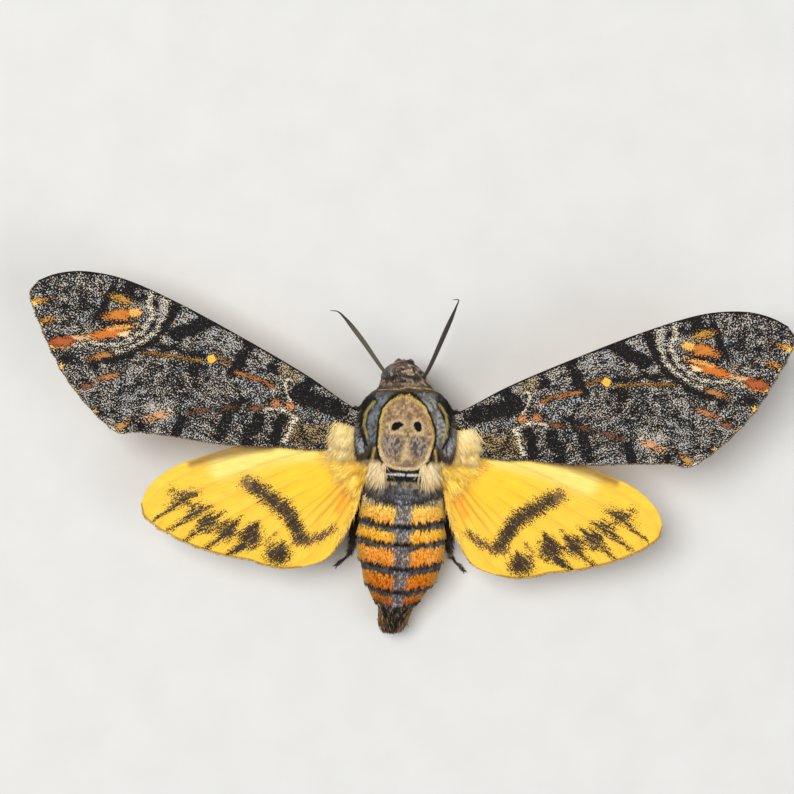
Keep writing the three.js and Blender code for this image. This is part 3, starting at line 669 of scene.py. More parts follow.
trunk_y = trunk[..., 1]
upward = trunk_out[..., 2]
collar_zone = (trunk_y < 6.5) & (trunk_y > 5.2)
thorax_zone = (trunk_y < 5.4) & (trunk_y > -7.6)
abdomen_zone = (trunk_y < -7) & (trunk_y > -27.6)
thorax_fur = fur_finish("thorax_pile", 0.55, 0.03)
abdomen_fur = fur_finish("abdomen_scales", 0.5, 0.0)
head_fur, tail_fur = fur_finish("head_fur", 0.6, 0.03), fur_finish("tail_brush", 0.55, 0.03)
coats = [  # name, where, how many, length, width, lift, finish, slot, rings, how far the tone varies
    ("head_coat", trunk_y > 6.3, 11500, 0.7, 0.15, 0.6, head_fur, "head_fur", 2, 0.5),
    ("collar_coat", collar_zone, 4500, 0.9, 0.16, 0.35, thorax_fur, "collar_fur", 2, 0.26),
    ("thorax_coat", thorax_zone & (upward > 0.35), 19500, 0.45, 0.13, 0.3, thorax_fur, "thorax_fur", 2, 0.26),
    ("breast_coat", thorax_zone & (upward <= 0.35), 7800, 1.7, 0.24, 0.3, thorax_fur, "thorax_fur", 2, 0.26),
    ("abdomen_coat", abdomen_zone & (upward > 0), 18000, 1.0, 0.2, 0.2, abdomen_fur, "abdomen_fur", 2, 0.15),
    ("belly_coat", abdomen_zone & (upward <= 0), 7600, 1.0, 0.28, 0.14, abdomen_fur, "abdomen_fur", 2, 0.26),
    ("tail_coat", trunk_y < -26.6, 2700, tail_length, 0.2, 0.3, tail_fur, "tail_fur", 3, 0.5),
]
for seed, (name, zone, count, length, width, lift, finish, slot, rings, vary) in enumerate(coats, 100):
    coat(name, trunk, trunk_out, zone, count, seed, rearwards, length, width, lift, trunk_colour, finish,
         rings=rings, vary=vary)


# Long pale hair stands at the thorax's rear corners and falls back over the hind wing roots and the
# waist. Real hair there is cream and silky, several times as long as the pile of the back.
def leaning(x, y, z):
    """Hair lies in one direction, mirrored on the left side."""
    return lambda root: np.stack([np.sign(root[:, 0]) * x, np.full(len(root), y), np.full(len(root), z)], 1)


def corner_colour(root, normal):
    return paint(
        (255, 242, 204),
        ((255, 226, 156), flecks(root, 0.6, 61, 0.35, 0.75)),
        ((240, 216, 168), 0.8 * ramp(4.9 - np.abs(root[:, 0]), 0, 0.8)),
        ((206, 184, 140), flecks(root, 0.4, 62, 0.75, 0.9)),
    )


angle_up = np.degrees(np.arctan2(trunk[..., 2] - 10.2, np.abs(trunk[..., 0])))
corners = (trunk_y < -4.5) & (trunk_y > -7.4) & (angle_up > 8) & (angle_up < 64)
corners = corners & (np.abs(trunk[..., 0]) > 2.7)
corner_silk = fur_finish("corner_silk", 0.45, 0.1, 0.12)
coat("corner_hair", trunk, trunk_out, corners, 8600, 120, leaning(0.34, -1, -0.12), 3.7, 0.09, 0.16,
     corner_colour, corner_silk, rings=3, curl=0.8, stray=0.16, ridge=0.2)


# The shoulder flaps are long oval lobes over the forewing roots, stiff plates under a smooth coat that
# ends in a fringe. Each is an egg-shaped skin with its own coat, in the colours of the bands beside it.
def turned(points, degrees_xyz):
    """Points turned about X, then Y, then Z."""
    for axis, degrees in enumerate(degrees_xyz):
        c, s = math.cos(math.radians(degrees)), math.sin(math.radians(degrees))
        i, j = (axis + 1) % 3, (axis + 2) % 3
        a, b = points[..., i], points[..., j]
        points = points.copy()
        points[..., i], points[..., j] = a * c - b * s, a * s + b * c
    return points


def egg(centre, radii, turn, rows, columns, side):
    """An egg's grid, from its front end to its rear end; the left one is mirrored."""
    down = np.linspace(0.03, math.pi - 0.03, rows)[:, None]
    around = np.linspace(0, 2 * math.pi, columns, endpoint=False) * side
    wide, ahead = np.sin(down), np.cos(down)
    ball = np.stack([wide * np.cos(around), ahead + 0 * around, wide * np.sin(around)], -1)
    return (turned(ball * radii, turn) + centre) * (side, 1, 1)


def flap_colour(root, normal):
    return trunk_colour(root, normal * 0.3 + (0, 0, 0.7))


def flap_length(root):
    return np.interp(np.abs(root[:, 0]), [5.9, 6.5], [0.45, 1.5])


flap_finish = skin_finish("flap_short_fur")
for side, word in ((-1, "left"), (1, "right")):
    flap = egg((5.7, 0.2, 14.1), (1.25, 4.7, 1.3), (0, 38, 6), 60, 40, side)
    flap_out = facing(flap)
    tint = flap_colour(flap.reshape(-1, 3), flap_out.reshape(-1, 3))
    skin = build_closed(f"shoulder_flap_skin_{word}", flap, flap_finish, {"tint": tint})
    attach(skin, "root")
    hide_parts(f"shoulder_flap_{word}")
    coat(f"shoulder_flap_coat_{word}", flap, flap_out, flap_out[..., 2] > -0.5, 7500, 130 + side, rearwards,
         flap_length, 0.1, 0.28, flap_colour, thorax_fur)


# The eyes are bare domes of fine facets, dark brown and glossy, set in the sides of the head.
eye_facets, shade, coat_with = new_finish("eye_facets")
place = shade.node("TexCoord", out=3)
facets = place.node("TexVoronoi", {}, {"Vector": place, "Scale": 11 / MM})
cloud = place.speckle(0.6 * MM)
coat_with({
    "Base Color": cloud.rise(0.35, 0.7).between(hue(26, 17, 12), hue(58, 38, 26)),
    "Roughness": 0.16,
    "Coat Weight": 0.6,
    "Coat Roughness": 0.08,
    "Normal": (1 - facets).bump(0.35, 0.03),
})
for side, word in ((-1, "left"), (1, "right")):
    ball = egg((2.3, 7.9, 8.45), (1.22, 1.25, 1.3), (0, 0, 0), 40, 48, side) - (0.55, 0, 0)
    eye = build_closed(f"eye_ball_{word}", ball, eye_facets, {})
    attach(eye, "root")
    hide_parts(f"eye_{word}")


# The palps are two blunt furry lobes that curve up in front of the face and cover the tongue's root.
def palp_colour(root, normal):
    dark = flecks(root, 0.5, 71, 0.4, 0.65)
    return paint((122, 102, 88), ((60, 49, 43), dark), ((190, 160, 130), ramp(-normal[:, 2], 0.1, 0.7)))


palp_skin = skin_finish("palp_short_fur")
palp_fur = fur_finish("palp_fur", 0.55, 0.1)
for side, word in ((-1, "left"), (1, "right")):
    lobe = egg((0.88, 9.75, 7.9), (0.5, 0.72, 1.85), (14, 0, 0), 40, 32, side) - (0.5, 0, 0)
    lobe_out = facing(lobe)
    tint = palp_colour(lobe.reshape(-1, 3), lobe_out.reshape(-1, 3))
    skin = build_closed(f"palp_skin_{word}", lobe, palp_skin, {"tint": tint})
    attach(skin, "root")
    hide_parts(f"palp_{word}")
    coat(f"palp_coat_{word}", lobe, lobe_out, np.ones(lobe.shape[:2]), 2000, 140 + side, leaning(0, 0.5, 1),
         0.55, 0.12, 0.35, palp_colour, palp_fur)


# The antennae are stiff jointed rods of chitin with a felt of grey-brown scales, thickest beyond the
# middle and ending in a thin hook. Each is one ringed tube along the path that the photograph shows.
# Colour near the root and path of each antenna; the left one's paler colour is painted highlight from the
# light falling on it.
ANTENNAE = [
    ("left", (92, 83, 68), [(-2.9, 7.9, 10.9), (-4.4, 9.8, 12.2), (-7.2, 13.5, 13.8), (-9.9, 16.6, 14.6),
                            (-10.8, 17.3, 14.8), (-11.9, 17.4, 15)]),
    ("right", (54, 42, 35), [(2.2, 7.5, 10.9), (3.2, 9.4, 12.2), (5.2, 14.4, 14), (6.9, 18.8, 14.9),
                             (7.15, 19.7, 15), (6.3, 19.7, 15.2)]),
]
ANTENNA_RADII = (0.27, 0.27, 0.29, 0.31, 0.33, 0.35, 0.36, 0.35, 0.31, 0.2, 0.1, 0.04)
ROD_COLUMNS = 20


def tube(path, radii, columns):
    """A round tube's grid, rows along the path and columns around it."""
    along = unit(np.gradient(path, axis=0))
    side = unit(np.cross(along[0], (0.3, 0.2, 0.93)))
    turn = np.linspace(0, 2 * math.pi, columns, endpoint=False)[:, None]
    rings = []
    for middle, ahead, radius in zip(path, along, radii):
        side = unit(side - ahead * (side @ ahead))
        rings.append(middle + radius * (side * np.cos(turn) + np.cross(ahead, side) * np.sin(turn)))
    return np.array(rings)


def chitin_finish(name, gloss):
    """Bare or thinly scaled chitin: the piece's colour, fine speckle, a dull or a shining surface."""
    finish, shade, coat_with = new_finish(name)
    speckle = shade.node("TexCoord", out=3).speckle(0.07 * MM, 3)
    coat_with({
        "Base Color": shade.read("tint").shaded(0.6 + speckle * 0.8),
        "Roughness": (1 - gloss) * 0.7 + 0.1 + speckle * 0.1,
        "Specular IOR Level": 0.45,
        "Normal": speckle.bump(0.4, 0.04),
    })
    return finish


antenna_scales = chitin_finish("antenna_scales", 0.4)
for word, colour, points in ANTENNAE:
    path = smooth_path(points, 300)
    run = run_along(path)
    part = run / run[-1]
    joints = 1 + 0.09 * np.cos(2 * math.pi * run / 0.33)
    radii = np.interp(part, np.linspace(0, 1, len(ANTENNA_RADII)), ANTENNA_RADII) * joints
    rod = tube(path, radii, ROD_COLUMNS)
    tint = paint(colour, ((24, 20, 19), ramp(part, 0.55, 0.95)))
    tint = tint * (0.75 + 0.35 * (joints[:, None] - 0.91) / 0.18)
    antenna = build_closed(f"antenna_rod_{word}", rod, antenna_scales, {
        "tint": np.repeat(tint, ROD_COLUMNS, axis=0),
    })
    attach(antenna, "root")
    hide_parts(f"antenna_{word}")


# The tongue is short and stout and lies rolled up under the head: bare, ridged, brown chitin.
tongue_chitin, shade, coat_with = new_finish("tongue_chitin")
place = shade.node("TexCoord", out=3)
wave = {"Vector": place, "Scale": 1.4 / MM, "Distortion": 3.0}
ridges = place.node("TexWave", {"bands_direction": "X"}, wave)
coat_with({
    "Base Color": ridges.between(hue(64, 40, 26), hue(120, 80, 50)),
    "Roughness": 0.35,
    "Normal": ridges.bump(0.4, 0.05),
})
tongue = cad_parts["tongue"]
tongue.data.materials.clear()
tongue.data.materials.append(tongue_chitin)


# The six legs are folded close under the body, each a jointed rod of black chitin under a coat of hair,
# with spurs at the shin, five short foot joints and two claws that hold the floor.
LEGS = {
    "fore": ([(2.2, 3.4, 5.6), (4.7, 4.5, 4.3), (6.9, 2.8, 1.5), (8.2, 2.6, 0.28), (11, 2.2, 0.25)],
             (0.85, 0.8, 0.75, 0.7, 0.5, 0.36, 0.33, 0.3)),
    "mid": ([(2.9, -0.8, 5.4), (6.3, -1.4, 5), (9, -4.2, 1.6), (10.3, -5.6, 0.28), (12.8, -7.2, 0.25)],
            (0.95, 0.9, 0.8, 0.75, 0.55, 0.4, 0.33, 0.3)),
    "hind": ([(2.6, -4.6, 5.3), (6.2, -9.4, 4.4), (7.5, -17.4, 1.7), (8, -19.7, 0.28), (9.8, -21.6, 0.25)],
             (1, 0.95, 0.85, 0.8, 0.8, 0.6, 0.36, 0.3)),
}


def leg_colour(root, normal):
    return paint((50, 40, 33), ((150, 124, 88), 0.6 * flecks(root, 0.8, 81, 0.62, 0.8)))


def footwards(limb):
    """Hair lies towards the foot, along the nearest part of the limb."""
    steps = np.diff(limb[:, 0], axis=0)
    return lambda root: steps[((root[:, None] - limb[:-1, 0]) ** 2).sum(2).argmin(1)]


LEG_ROWS, LEG_COLUMNS = 150, 18
leg_chitin = chitin_finish("leg_chitin", 0.5)
leg_fur = fur_finish("leg_fur", 0.55, 0.05)
for name, (points, radii) in LEGS.items():
    path = smooth_path(points, LEG_ROWS)
    part = np.linspace(0, 1, LEG_ROWS)
    foot, joint = ramp(part, 0.66, 0.7), (part * 14) % 1  # the foot's short joints
    radius = np.interp(part, np.linspace(0, 1, len(radii)), radii) * 0.9 * (1 + 0.28 * foot * (joint - 0.4))
    radius = np.minimum(radius, path[:, 2] - 0.03)
    for side, word in ((-1, "left"), (1, "right")):
        limb = tube(path, radius, LEG_COLUMNS)
        if side < 0:
            limb = (limb * (-1, 1, 1))[:, ::-1]
        limb_out = facing(limb)
        tint = leg_colour(limb.reshape(-1, 3), limb_out.reshape(-1, 3))
        tint = tint * np.repeat(1 + 0.9 * foot * (joint > 0.8), LEG_COLUMNS)[:, None]
        leg = build_closed(f"{name}_leg_{word}_rod", limb, leg_chitin, {"tint": tint})
        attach(leg, "root")
        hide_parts(f"{name}_leg_{word}")
        zone = np.repeat((part < 0.68)[:, None] + 0.35, LEG_COLUMNS, axis=1)
        coat(f"{name}_leg_{word}_hair", limb, limb_out, zone, 1500, 150 + side, footwards(limb), 0.9, 0.15,
             0.4, leg_colour, leg_fur)
        tip, before, shin = (path[k] * (side, 1, 1) for k in (-1, -8, int(LEG_ROWS * 0.62)))
        ahead = unit(tip - before)
        splay = ahead + np.cross(ahead, (0, 0, 1)) * np.array([[0.5], [-0.5], [0.9], [-0.9]])
        up = np.repeat([[0, 0, 1.0]], 4, axis=0)
        size = np.array([0.75, 0.75, 1.3, 1.3])
        root = np.array([tip, tip, shin, shin])
        claws, blades, share, side_of = comb(root, up, splay, size, 0.16, 0.25, 1.1, 3)
        claws[:, 2] = np.maximum(claws[:, 2], 0.03)
        claw = build(f"{name}_leg_{word}_claws", claws, [blades], np.stack([share, side_of * 0.2 + 0.5], 1),
                     [leg_chitin], {"tint": np.repeat([hue(34, 26, 22)], len(claws), axis=0)})
        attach(claw, "root")


# The forewings are thin double membranes on a frame of veins, covered in loose scales. Each is one
# closed sheet: upper face, underside and rim, with raised veins and pleats between them. The points
# below lie in the wing's own plane: x runs out from its hinge and y towards the head.
def line(*points, width, soft=0.5):
    return lambda at: stroke(at, points, width) / soft


def oval(x, y, long, short, turn=0, soft=0.8):
    return lambda at: spot(at, (x, y), (long, short), turn) / soft


FOREWING = {
    "hinge": (7.2, 2.5, 12.5), "rise": 4, "pitch": -1, "camber": 0.9, "scallop": 0.25,
    "front": [(-2.6, 0.3), (0.8, 0.3), (9, 2.1), (20, 3.7), (31, 4.9), (39, 5.2), (43, 4.7), (46.7, 3.6),
              (49.6, 1.9), (51.4, 0.2)],
    "outer": [(51.4, 0.2), (51.9, -1.8), (50.9, -3.6), (48.7, -5.9), (46.1, -8.5), (43.5, -10.8), (40.3, -13),
              (36.6, -15), (33.6, -16.3)],
    "rear": [(-2.6, -4.6), (2, -6.9), (5.5, -8.3), (9, -9.3), (12.6, -10.7), (16, -11.8), (19.8, -12.8),
             (23.4, -13.6), (27, -14.5), (30, -15.4), (31.7, -16.4), (33.6, -16.3)],
    "veins": [(0.05, 0), (0.13, 0), (0.23, 0), (0.34, 0.5), (0.45, 0.5), (0.56, 0.5), (0.67, 0), (0.79, 0.28),
              (0.92, 0)],
}
FOREWING_DARK = [  # where pale scales are few or many: 0 is black, 1 is white
    (line((2.5, -0.9), (6, -1), (9.3, -1.2), width=2.2), 0.03),
    (line((8, 2.3), (8.6, 0.8), (9.6, -0.8), width=1.6), 0.03),
    (oval(14.2, 1.8, 0.8, 1.1), 0.03),
    (line((10.1, -5.2), (10.3, -7), (9.8, -9.2), width=1.3), 0.05),
    (line((13.4, -6.5), (13.9, -8.4), (13.6, -10.4), width=1.9), 0.15),
    (line((17, -5.2), (17.9, -8), (17.6, -11.4), width=1.6), 0.2),
    (line((24, -11.2), (24, -13), width=1.5), 0.1),
    (line((29.3, -13.6), (29, -15.2), width=0.9), 0.1),
    (line((18.9, 3.6), (19, 1.5), (19.4, -0.5), (19.8, -2), width=1.5), 0.03),
    (line((25.8, 4.2), (27, 2.8), (28.4, 1.6), (29.6, 0.6), width=1.9), 0.05),
    (oval(24.8, -3.2, 1.8, 0.9), 0.15),
    (oval(26.5, -6.6, 5, 2), 0.42),
    (oval(46, -1, 4, 2.4), 0.42),
    (line((24, -1), (29, -1.6), (34, -3), width=0.5), 0.1),
    (oval(11, 1.7, 1.5, 1.4), 0.75),
    (oval(12.9, 1.7, 0.8, 1), 0.75),
    (oval(16.5, 2.2, 1.3, 1.2), 0.62),
    (oval(22.5, 2.2, 2.4, 1.6), 0.72),
    (oval(29.5, 3, 1.3, 1.2), 0.7),
    (oval(32.9, 2.4, 1, 2.4), 0.95),
    (oval(21.5, -3, 2.2, 1), 0.6),
    (oval(28.8, -10.5, 1, 0.5), 0.97),
    (oval(26.9, -12.2, 1.3, 1.6), 0.87),
    (oval(41.5, 1.8, 0.4, 1.3), 0.87),
    (line((3.5, -5.2), (5.5, -6.2), (8.2, -6.8), width=3), 0.6),
    (line((31, 4.6), (31.3, 2.6), (31.6, 0.6), (32.2, -1.2), (33.2, -2.9), (34.8, -4.8), (36.4, -6.1),
          (38.4, -7.3), width=1.1), 0.03),
    (line((34.1, 3.8), (33.4, 2.2), (33.2, 0.3), (33.7, -1.4), (34.6, -2.9), (36, -4.5), width=0.4), 0.05),
    (line((38.4, 4.7), (38.3, 3.6), width=1.4), 0.03),
    (line((36.3, 3.2), (38, 3.3), (40.4, 2.4), width=0.6), 0.05),
    (line((40.9, 2.9), (41, 0.8), (41.2, -1.6), width=1), 0.03),
    (line((36, -0.6), (38.5, -1.6), (40.5, -2.3), width=0.5), 0.05),
    (oval(39.4, -8.4, 0.9, 0.6), 0.08),
    (oval(43.4, -8.9, 1.1, 0.7), 0.08),
]
CREAM = (218, 206, 180)
FOREWING_MARKS = [  # ragged coloured patches: cream lines, orange and rust spots, gold dots on the margin
    (line((8.6, -8.4), (8.4, -6.8), (8.6, -5.2), (8.2, -4.4), (9.2, -4.2), (10.6, -4), width=0.5,
          soft=0.8), CREAM),
    (line((10.2, -2.3), (11.2, -1.2), (11.8, -0.2), (11.4, 0.8), width=0.35), CREAM),
    (line((11.5, -4.3), (12.6, -4.6), (13.2, -5.2), width=0.3), CREAM),
    (line((32.7, 4.4), (32.2, 3), (32.4, 1.2), (32.5, -0.1), (33.2, -1.6), (34.1, -2.7), (35.1, -4.1),
          (36.6, -5.3), (38.2, -6.3), (39.5, -7.2), width=(0.55, 0.2), soft=1.1), CREAM),
    (line((35.2, 4.6), (35, 3.1), (33.8, 1.7), (34.1, 0.2), (34.4, -1.2), (35.5, -2.7), (36.9, -4.1),
          (38.7, -5), (40.5, -5.4), (42.3, -6.3), (44.1, -7.4), (45.6, -8.5), width=(0.65, 0.2),
          soft=1.1), CREAM),
    (oval(9.8, -3.1, 0.75, 0.5, 10), (205, 140, 85)),
    (oval(12, -3.5, 0.75, 0.55, -35), (190, 125, 75)),
    (line((13.2, -1.3), (16, -1.2), (19, -1.4), width=0.5, soft=0.8), (170, 110, 60)),
    (line((20.5, -0.5), (22.6, -0.4), width=0.4, soft=0.8), (150, 105, 55)),
    (oval(14.4, -5.3, 1, 0.36, -25), (126, 84, 52)),
    (oval(18.3, -6.8, 1.1, 0.3, -35), (112, 76, 50)),
    (oval(22.1, -8.9, 1.3, 0.26, -30), (128, 86, 60)),
    (oval(23.3, -1.0, 0.72, 0.68, soft=0.3), (240, 182, 70)),
    (line((24.6, -1.8), (27.5, -2.4), (30.5, -3.2), (33, -3.9), width=0.35, soft=0.7), (172, 124, 54)),
    (oval(38.9, 2.2, 1.4, 0.55, -5, soft=1.2), (196, 146, 66)),
    (oval(38.3, 0, 2.3, 0.85, -27), (200, 124, 52)),
    (oval(36.5, 1.1, 1.1, 0.75, -27, soft=0.5), (240, 182, 96)),
    (oval(39, -3.3, 3.2, 0.75, -32), (204, 118, 48)),
    (oval(38, -2.1, 2.6, 0.4, -32, soft=0.5), (232, 164, 84)),
    (oval(36.8, -2.4, 1.2, 0.4, -32, soft=0.5), (240, 204, 150)),
    (oval(42.3, -5.3, 1.7, 0.5, -25), (222, 180, 128)),
    (oval(44.8, -7, 2.3, 0.8, -31), (170, 90, 48)),
    (oval(44.4, -6.4, 1.6, 0.3, -31, soft=0.5), (206, 122, 60)),
    (line((42.6, -6.6), (44.5, -7.9), (46.2, -8.7), width=0.3), (205, 140, 80)),
    (oval(38.5, -6.6, 1.8, 0.45, -35), (170, 120, 70)),
    (oval(36.5, -9.2, 1.7, 0.45, -38), (185, 125, 75)),
    (oval(38.8, -11.6, 0.9, 0.3, -38), (150, 95, 60)),
    (oval(27.5, -11.8, 1.9, 0.6, -38), (212, 156, 108)),
    (line((25.9, -10.3), (27.4, -10.9), (29, -12.4), width=0.3), CREAM),
    (oval(32, -15.3, 1.2, 0.45, -55), (190, 140, 75)),
    (line((31.1, -16.2), (32.2, -16.5), (33, -16.1), width=0.3), CREAM),
    (oval(50.2, -2.6, 1.2, 0.3, -30), (214, 150, 66)),
    (oval(48.1, -4.9, 1.3, 0.3, -30), (206, 140, 62)),
    *[(oval(x, y, 0.6, 0.42, -30, soft=0.5), (246, 198, 98)) for x, y in
      [(50.9, -3.3), (48.8, -5.8), (46.2, -8.4), (43.6, -10.6), (40.5, -13), (36.7, -15.1)]],
]
FOREWING_UNDER = [
    (line((28, 4.6), (30.5, 0), (30.5, -6), (28, -13), width=0.8), (112, 80, 50)),
    (line((36, 4.8), (38, 0), (37, -7), (33, -14.5), width=0.6), (112, 80, 50)),
    (line((51, -1), (47, -7), (41, -12.4), (34, -16), width=1.4), (104, 78, 54)),
    (oval(24, -1.2, 0.7, 0.5), (84, 60, 40)),
]


def wing_sheet(shape, rows, columns):
    """A wing's middle surface in its own plane, and each point's share across and along it."""
    across, along = np.linspace(0, 1, columns)[None, :, None], np.linspace(0, 1, rows)[:, None, None]
    front, rear = smooth_path(shape["front"], rows)[:, None], smooth_path(shape["rear"], rows)[:, None]
    tip = smooth_path(shape["outer"], columns)[None]
    root = front[:1] + (rear[:1] - front[:1]) * across
    corners = (1 - along) * root + along * (front[-1:] + (rear[-1:] - front[-1:]) * across)
    flat = (1 - across) * front + across * rear + (1 - along) * root + along * tip - corners
    across, along = (np.broadcast_to(share[..., 0], flat.shape[:2]) for share in (across, along))
    stops = np.array([0, *[vein for vein, _ in shape["veins"]], 1])
    between = np.interp(across, stops, np.arange(len(stops))) % 1
    scallop = shape["scallop"] * np.sin(math.pi * between) * ramp(across, 0.06, 0.14)
    flat[..., 0] -= scallop * np.maximum(0, along - 0.94) / 0.06
    swell = shape["camber"] * np.sin(math.pi * across) * np.sin(math.pi * (0.15 + 0.75 * along))
    chord = np.linalg.norm(front - rear, axis=-1)
    ridge = np.zeros(flat.shape[:2])
    for vein, start in shape["veins"]:
        away = (across - vein) * chord
        ridge += np.exp(-((away / 0.17) ** 2)) * ramp(along, start - 0.02, start + 0.05) * (1 - 0.55 * along)
    pleat = np.sin(math.pi * between) ** 2 * ramp(along, 0.25, 0.8)
    return np.dstack([flat, swell]), across, along, ridge, pleat


def hang_wing(points, shape, sweep, side):
    """A wing turned to its pose and set on its hinge; the left one is mirrored."""
    points = turned(points, (-shape["pitch"], -shape["rise"], sweep)) + shape["hinge"]
    return points * (side, 1, 1)


def marks_at(at, marks):
    """The distance to the nearest coloured mark, and that mark's colour."""
    away = np.array([mark(at) for mark, _ in marks])
    return away.min(0), np.array([hue(*colour) for _, colour in marks])[away.argmin(0)]


def build_wing(kind, word, shape, sweep, rows, columns, upper_fields, under_fields, finishes):
    """Upper face, underside and rim of a wing as one closed piece. Returns its upper grid."""
    side = {"left": -1, "right": 1}[word]
    sheet, across, along, ridge, pleat = wing_sheet(shape, rows, columns)
    body = np.minimum.reduce([across * 14, (1 - across) * 14, (1 - along) * 20, np.ones_like(along)])
    half = 0.05 + 0.11 * np.clip(body, 0, 1)
    lift = (half + ridge * 0.11 - pleat * 0.1)[..., None] * (0, 0, 1)
    drop = (half + ridge * 0.09 + pleat * 0.1)[..., None] * (0, 0, 1)
    upper, under = (hang_wing(face, shape, sweep, side) for face in (sheet + lift, sheet - drop))
    faces, unwrap = quads(rows, columns, closed=False)
    count = rows * columns
    order = np.arange(count).reshape(rows, columns)
    rim = np.concatenate([order[:-1, 0], order[-1, :-1], order[:0:-1, -1], order[0, :0:-1]])
    after = np.roll(rim, -1)
    at_rim = np.stack([(rim % columns) / (columns - 1) * 0.49, (rim // columns) / (rows - 1)], 1)
    unwrap = (unwrap * (0.49, 1)).reshape(-1, 4, 2)
    rim_faces = np.stack([rim, after, after + count, rim + count], 1)
    all_faces = np.vstack([faces, faces[:, ::-1] + count, rim_faces])
    all_unwrap = np.vstack([unwrap, unwrap[:, ::-1] + (0.51, 0), np.repeat(at_rim[:, None], 4, axis=1)])
    if side < 0:
        all_faces, all_unwrap = all_faces[:, ::-1], all_unwrap[:, ::-1]
    at = sheet.reshape(-1, 3)[:, :2]
    fields = {key: np.concatenate([value, under_fields(at)[key]]) for key, value in upper_fields(at).items()}
    fields["vein"] = np.tile(ridge.ravel(), 2)
    which = np.repeat([0, 1, 1], [len(faces), len(faces), len(rim)])
    points = np.vstack([upper.reshape(-1, 3), under.reshape(-1, 3)])
    unwrap = all_unwrap.reshape(-1, 2)
    wing = build(f"{kind}_sheet_{word}", points, [all_faces], unwrap, finishes, fields, which)
    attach(wing, "root")
    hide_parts(f"{kind}_{word}")
    return upper, facing(upper, closed=False) * side, across, along


def fanned(at, grain, depth):
    """Where each place lies in a field of streaks that fan out from the wing's root."""
    x, y = (at - (-3, 1.5)).T
    return np.stack([np.arctan2(y, x) * grain, np.hypot(x, y) * 0.12, np.full(len(at), depth)], 1)


def forewing_upper(at):
    place = np.c_[at, np.zeros(len(at))]
    pale = 0.5
    for mark, level in FOREWING_DARK:
        pale = pale + (min(level, 0.5 + (level - 0.5) * 0.6) - pale) * inked(mark(at), 1.7) * 0.88
    pale = pale - pale * 0.85 * inked(stroke(at, FOREWING["front"], 0.3), 0.3)
    ground = paint(
        (194, 188, 178),
        ((168, 144, 98), inked(stroke(at, [(1, -3.5), (3.5, -5.2), (5.5, -6.2), (9.2, -7)], 3.4), 1.5)),
        ((178, 158, 112), 0.8 * inked(spot(at, (11.4, 1.7), (2.3, 1.5)), 1)),
        ((176, 182, 186), 0.6 * flecks(place, 2.5, 95, 0.5, 0.75)),
    )
    edge, tint = marks_at(at, FOREWING_MARKS)
    return {"pale": pale, "ground": ground, "edge": edge, "tint": tint, "fibre": place}


def forewing_under(at):
    ground = paint((216, 170, 92), ((150, 116, 74), ramp(at[:, 0], 24, 46)))
    edge, tint = marks_at(at, FOREWING_UNDER)
    return {"pale": 0 * edge, "ground": ground, "edge": edge, "tint": tint, "fibre": fanned(at, 30, 30)}


def peppered_finish():
    """The forewing's upper side: loose black and white scales in clusters, and ragged orange marks."""
    finish, shade, coat_with = new_finish("forewing_peppered_scales")
    place = shade.read("fibre", 1)
    grain = place.speckle(0.11, 2)
    fine = place.speckle(0.055, 1)
    cloud = place.speckle(0.75, 3)
    streaks = place.speckle(0.3, 2, (0.35, 1, 1))
    pale = (shade.read("pale", 2) * 0.9 - 0.12 + (cloud - 0.5) * 0.85 + (streaks - 0.5) * 0.45).at_least(0.09)
    dark = fine.between(hue(4, 4, 5), hue(36, 32, 31))
    warm = place.speckle(0.3, 2, (0.6, 1, 1)).rise(0.5, 0.68)
    dust = warm.between(shade.read("ground"), hue(172, 146, 108))
    ground = grain.dusting(pale).between(dark, dust.shaded(0.5 + fine * 1.1))
    cover = shade.read("edge", 2).rise(0.7, -0.75) * 0.86
    marked = (streaks * 0.25 + grain * 0.75 - 0.5).spread_out().dusting(cover)
    tint = shade.read("tint").shaded(streaks * 0.45 + fine * 1.0 + cloud * 0.6)
    colour = marked.between(ground, tint)
    height = grain * 0.6 + fine * 0.8
    coat_with({
        "Base Color": colour,
        "Roughness": 0.6 + fine * 0.25,
        "Specular IOR Level": 0.12,
        "Normal": height.bump(0.55, 0.06),
    })
    return finish


def golden_finish(name):
    """Silky golden scales in fine streaks from the root, with dark bands and toothed spots."""
    finish, shade, coat_with = new_finish(name)
    fibre = shade.read("fibre", 1)
    streaks = fibre.speckle(0.13, 3)
    broad = fibre.speckle(0.6, 2)
    fine = fibre.speckle(0.05, 1, (1, 8, 1))
    vein = shade.read("vein", 2)
    ground = shade.read("ground").shaded(0.56 + streaks * 0.5 + broad * 0.25 + fine * 0.15)
    ground = (vein * 0.35).between(ground, hue(150, 104, 40))
    grain = shade.node("TexCoord", out=3).speckle(0.085 * MM, 2)
    cover = shade.read("edge", 2).rise(1.15, -0.85) * 0.82
    marked = (streaks * 0.4 + grain * 0.6 - 0.5).spread_out().dusting(cover, 0.26)
    colour = marked.between(ground, shade.read("tint").shaded(streaks * 0.8 + grain * 1.3 - 0.05))
    coat_with({
        "Base Color": colour,
        "Roughness": 0.45 + fine * 0.25,
        "Specular IOR Level": 0.25,
        "Normal": (streaks + fine * 0.5).bump(0.5, 0.06),
    })
    return finish


under_scales = golden_finish("wing_underside_scales")
forewing_finishes = [peppered_finish(), under_scales]
upper_grids = {}
for word, sweep in (("left", 20), ("right", 16.9)):
    upper_grids["forewing", word] = build_wing(
        "forewing", word, FOREWING, sweep, 244, 96, forewing_upper, forewing_under, forewing_finishes)


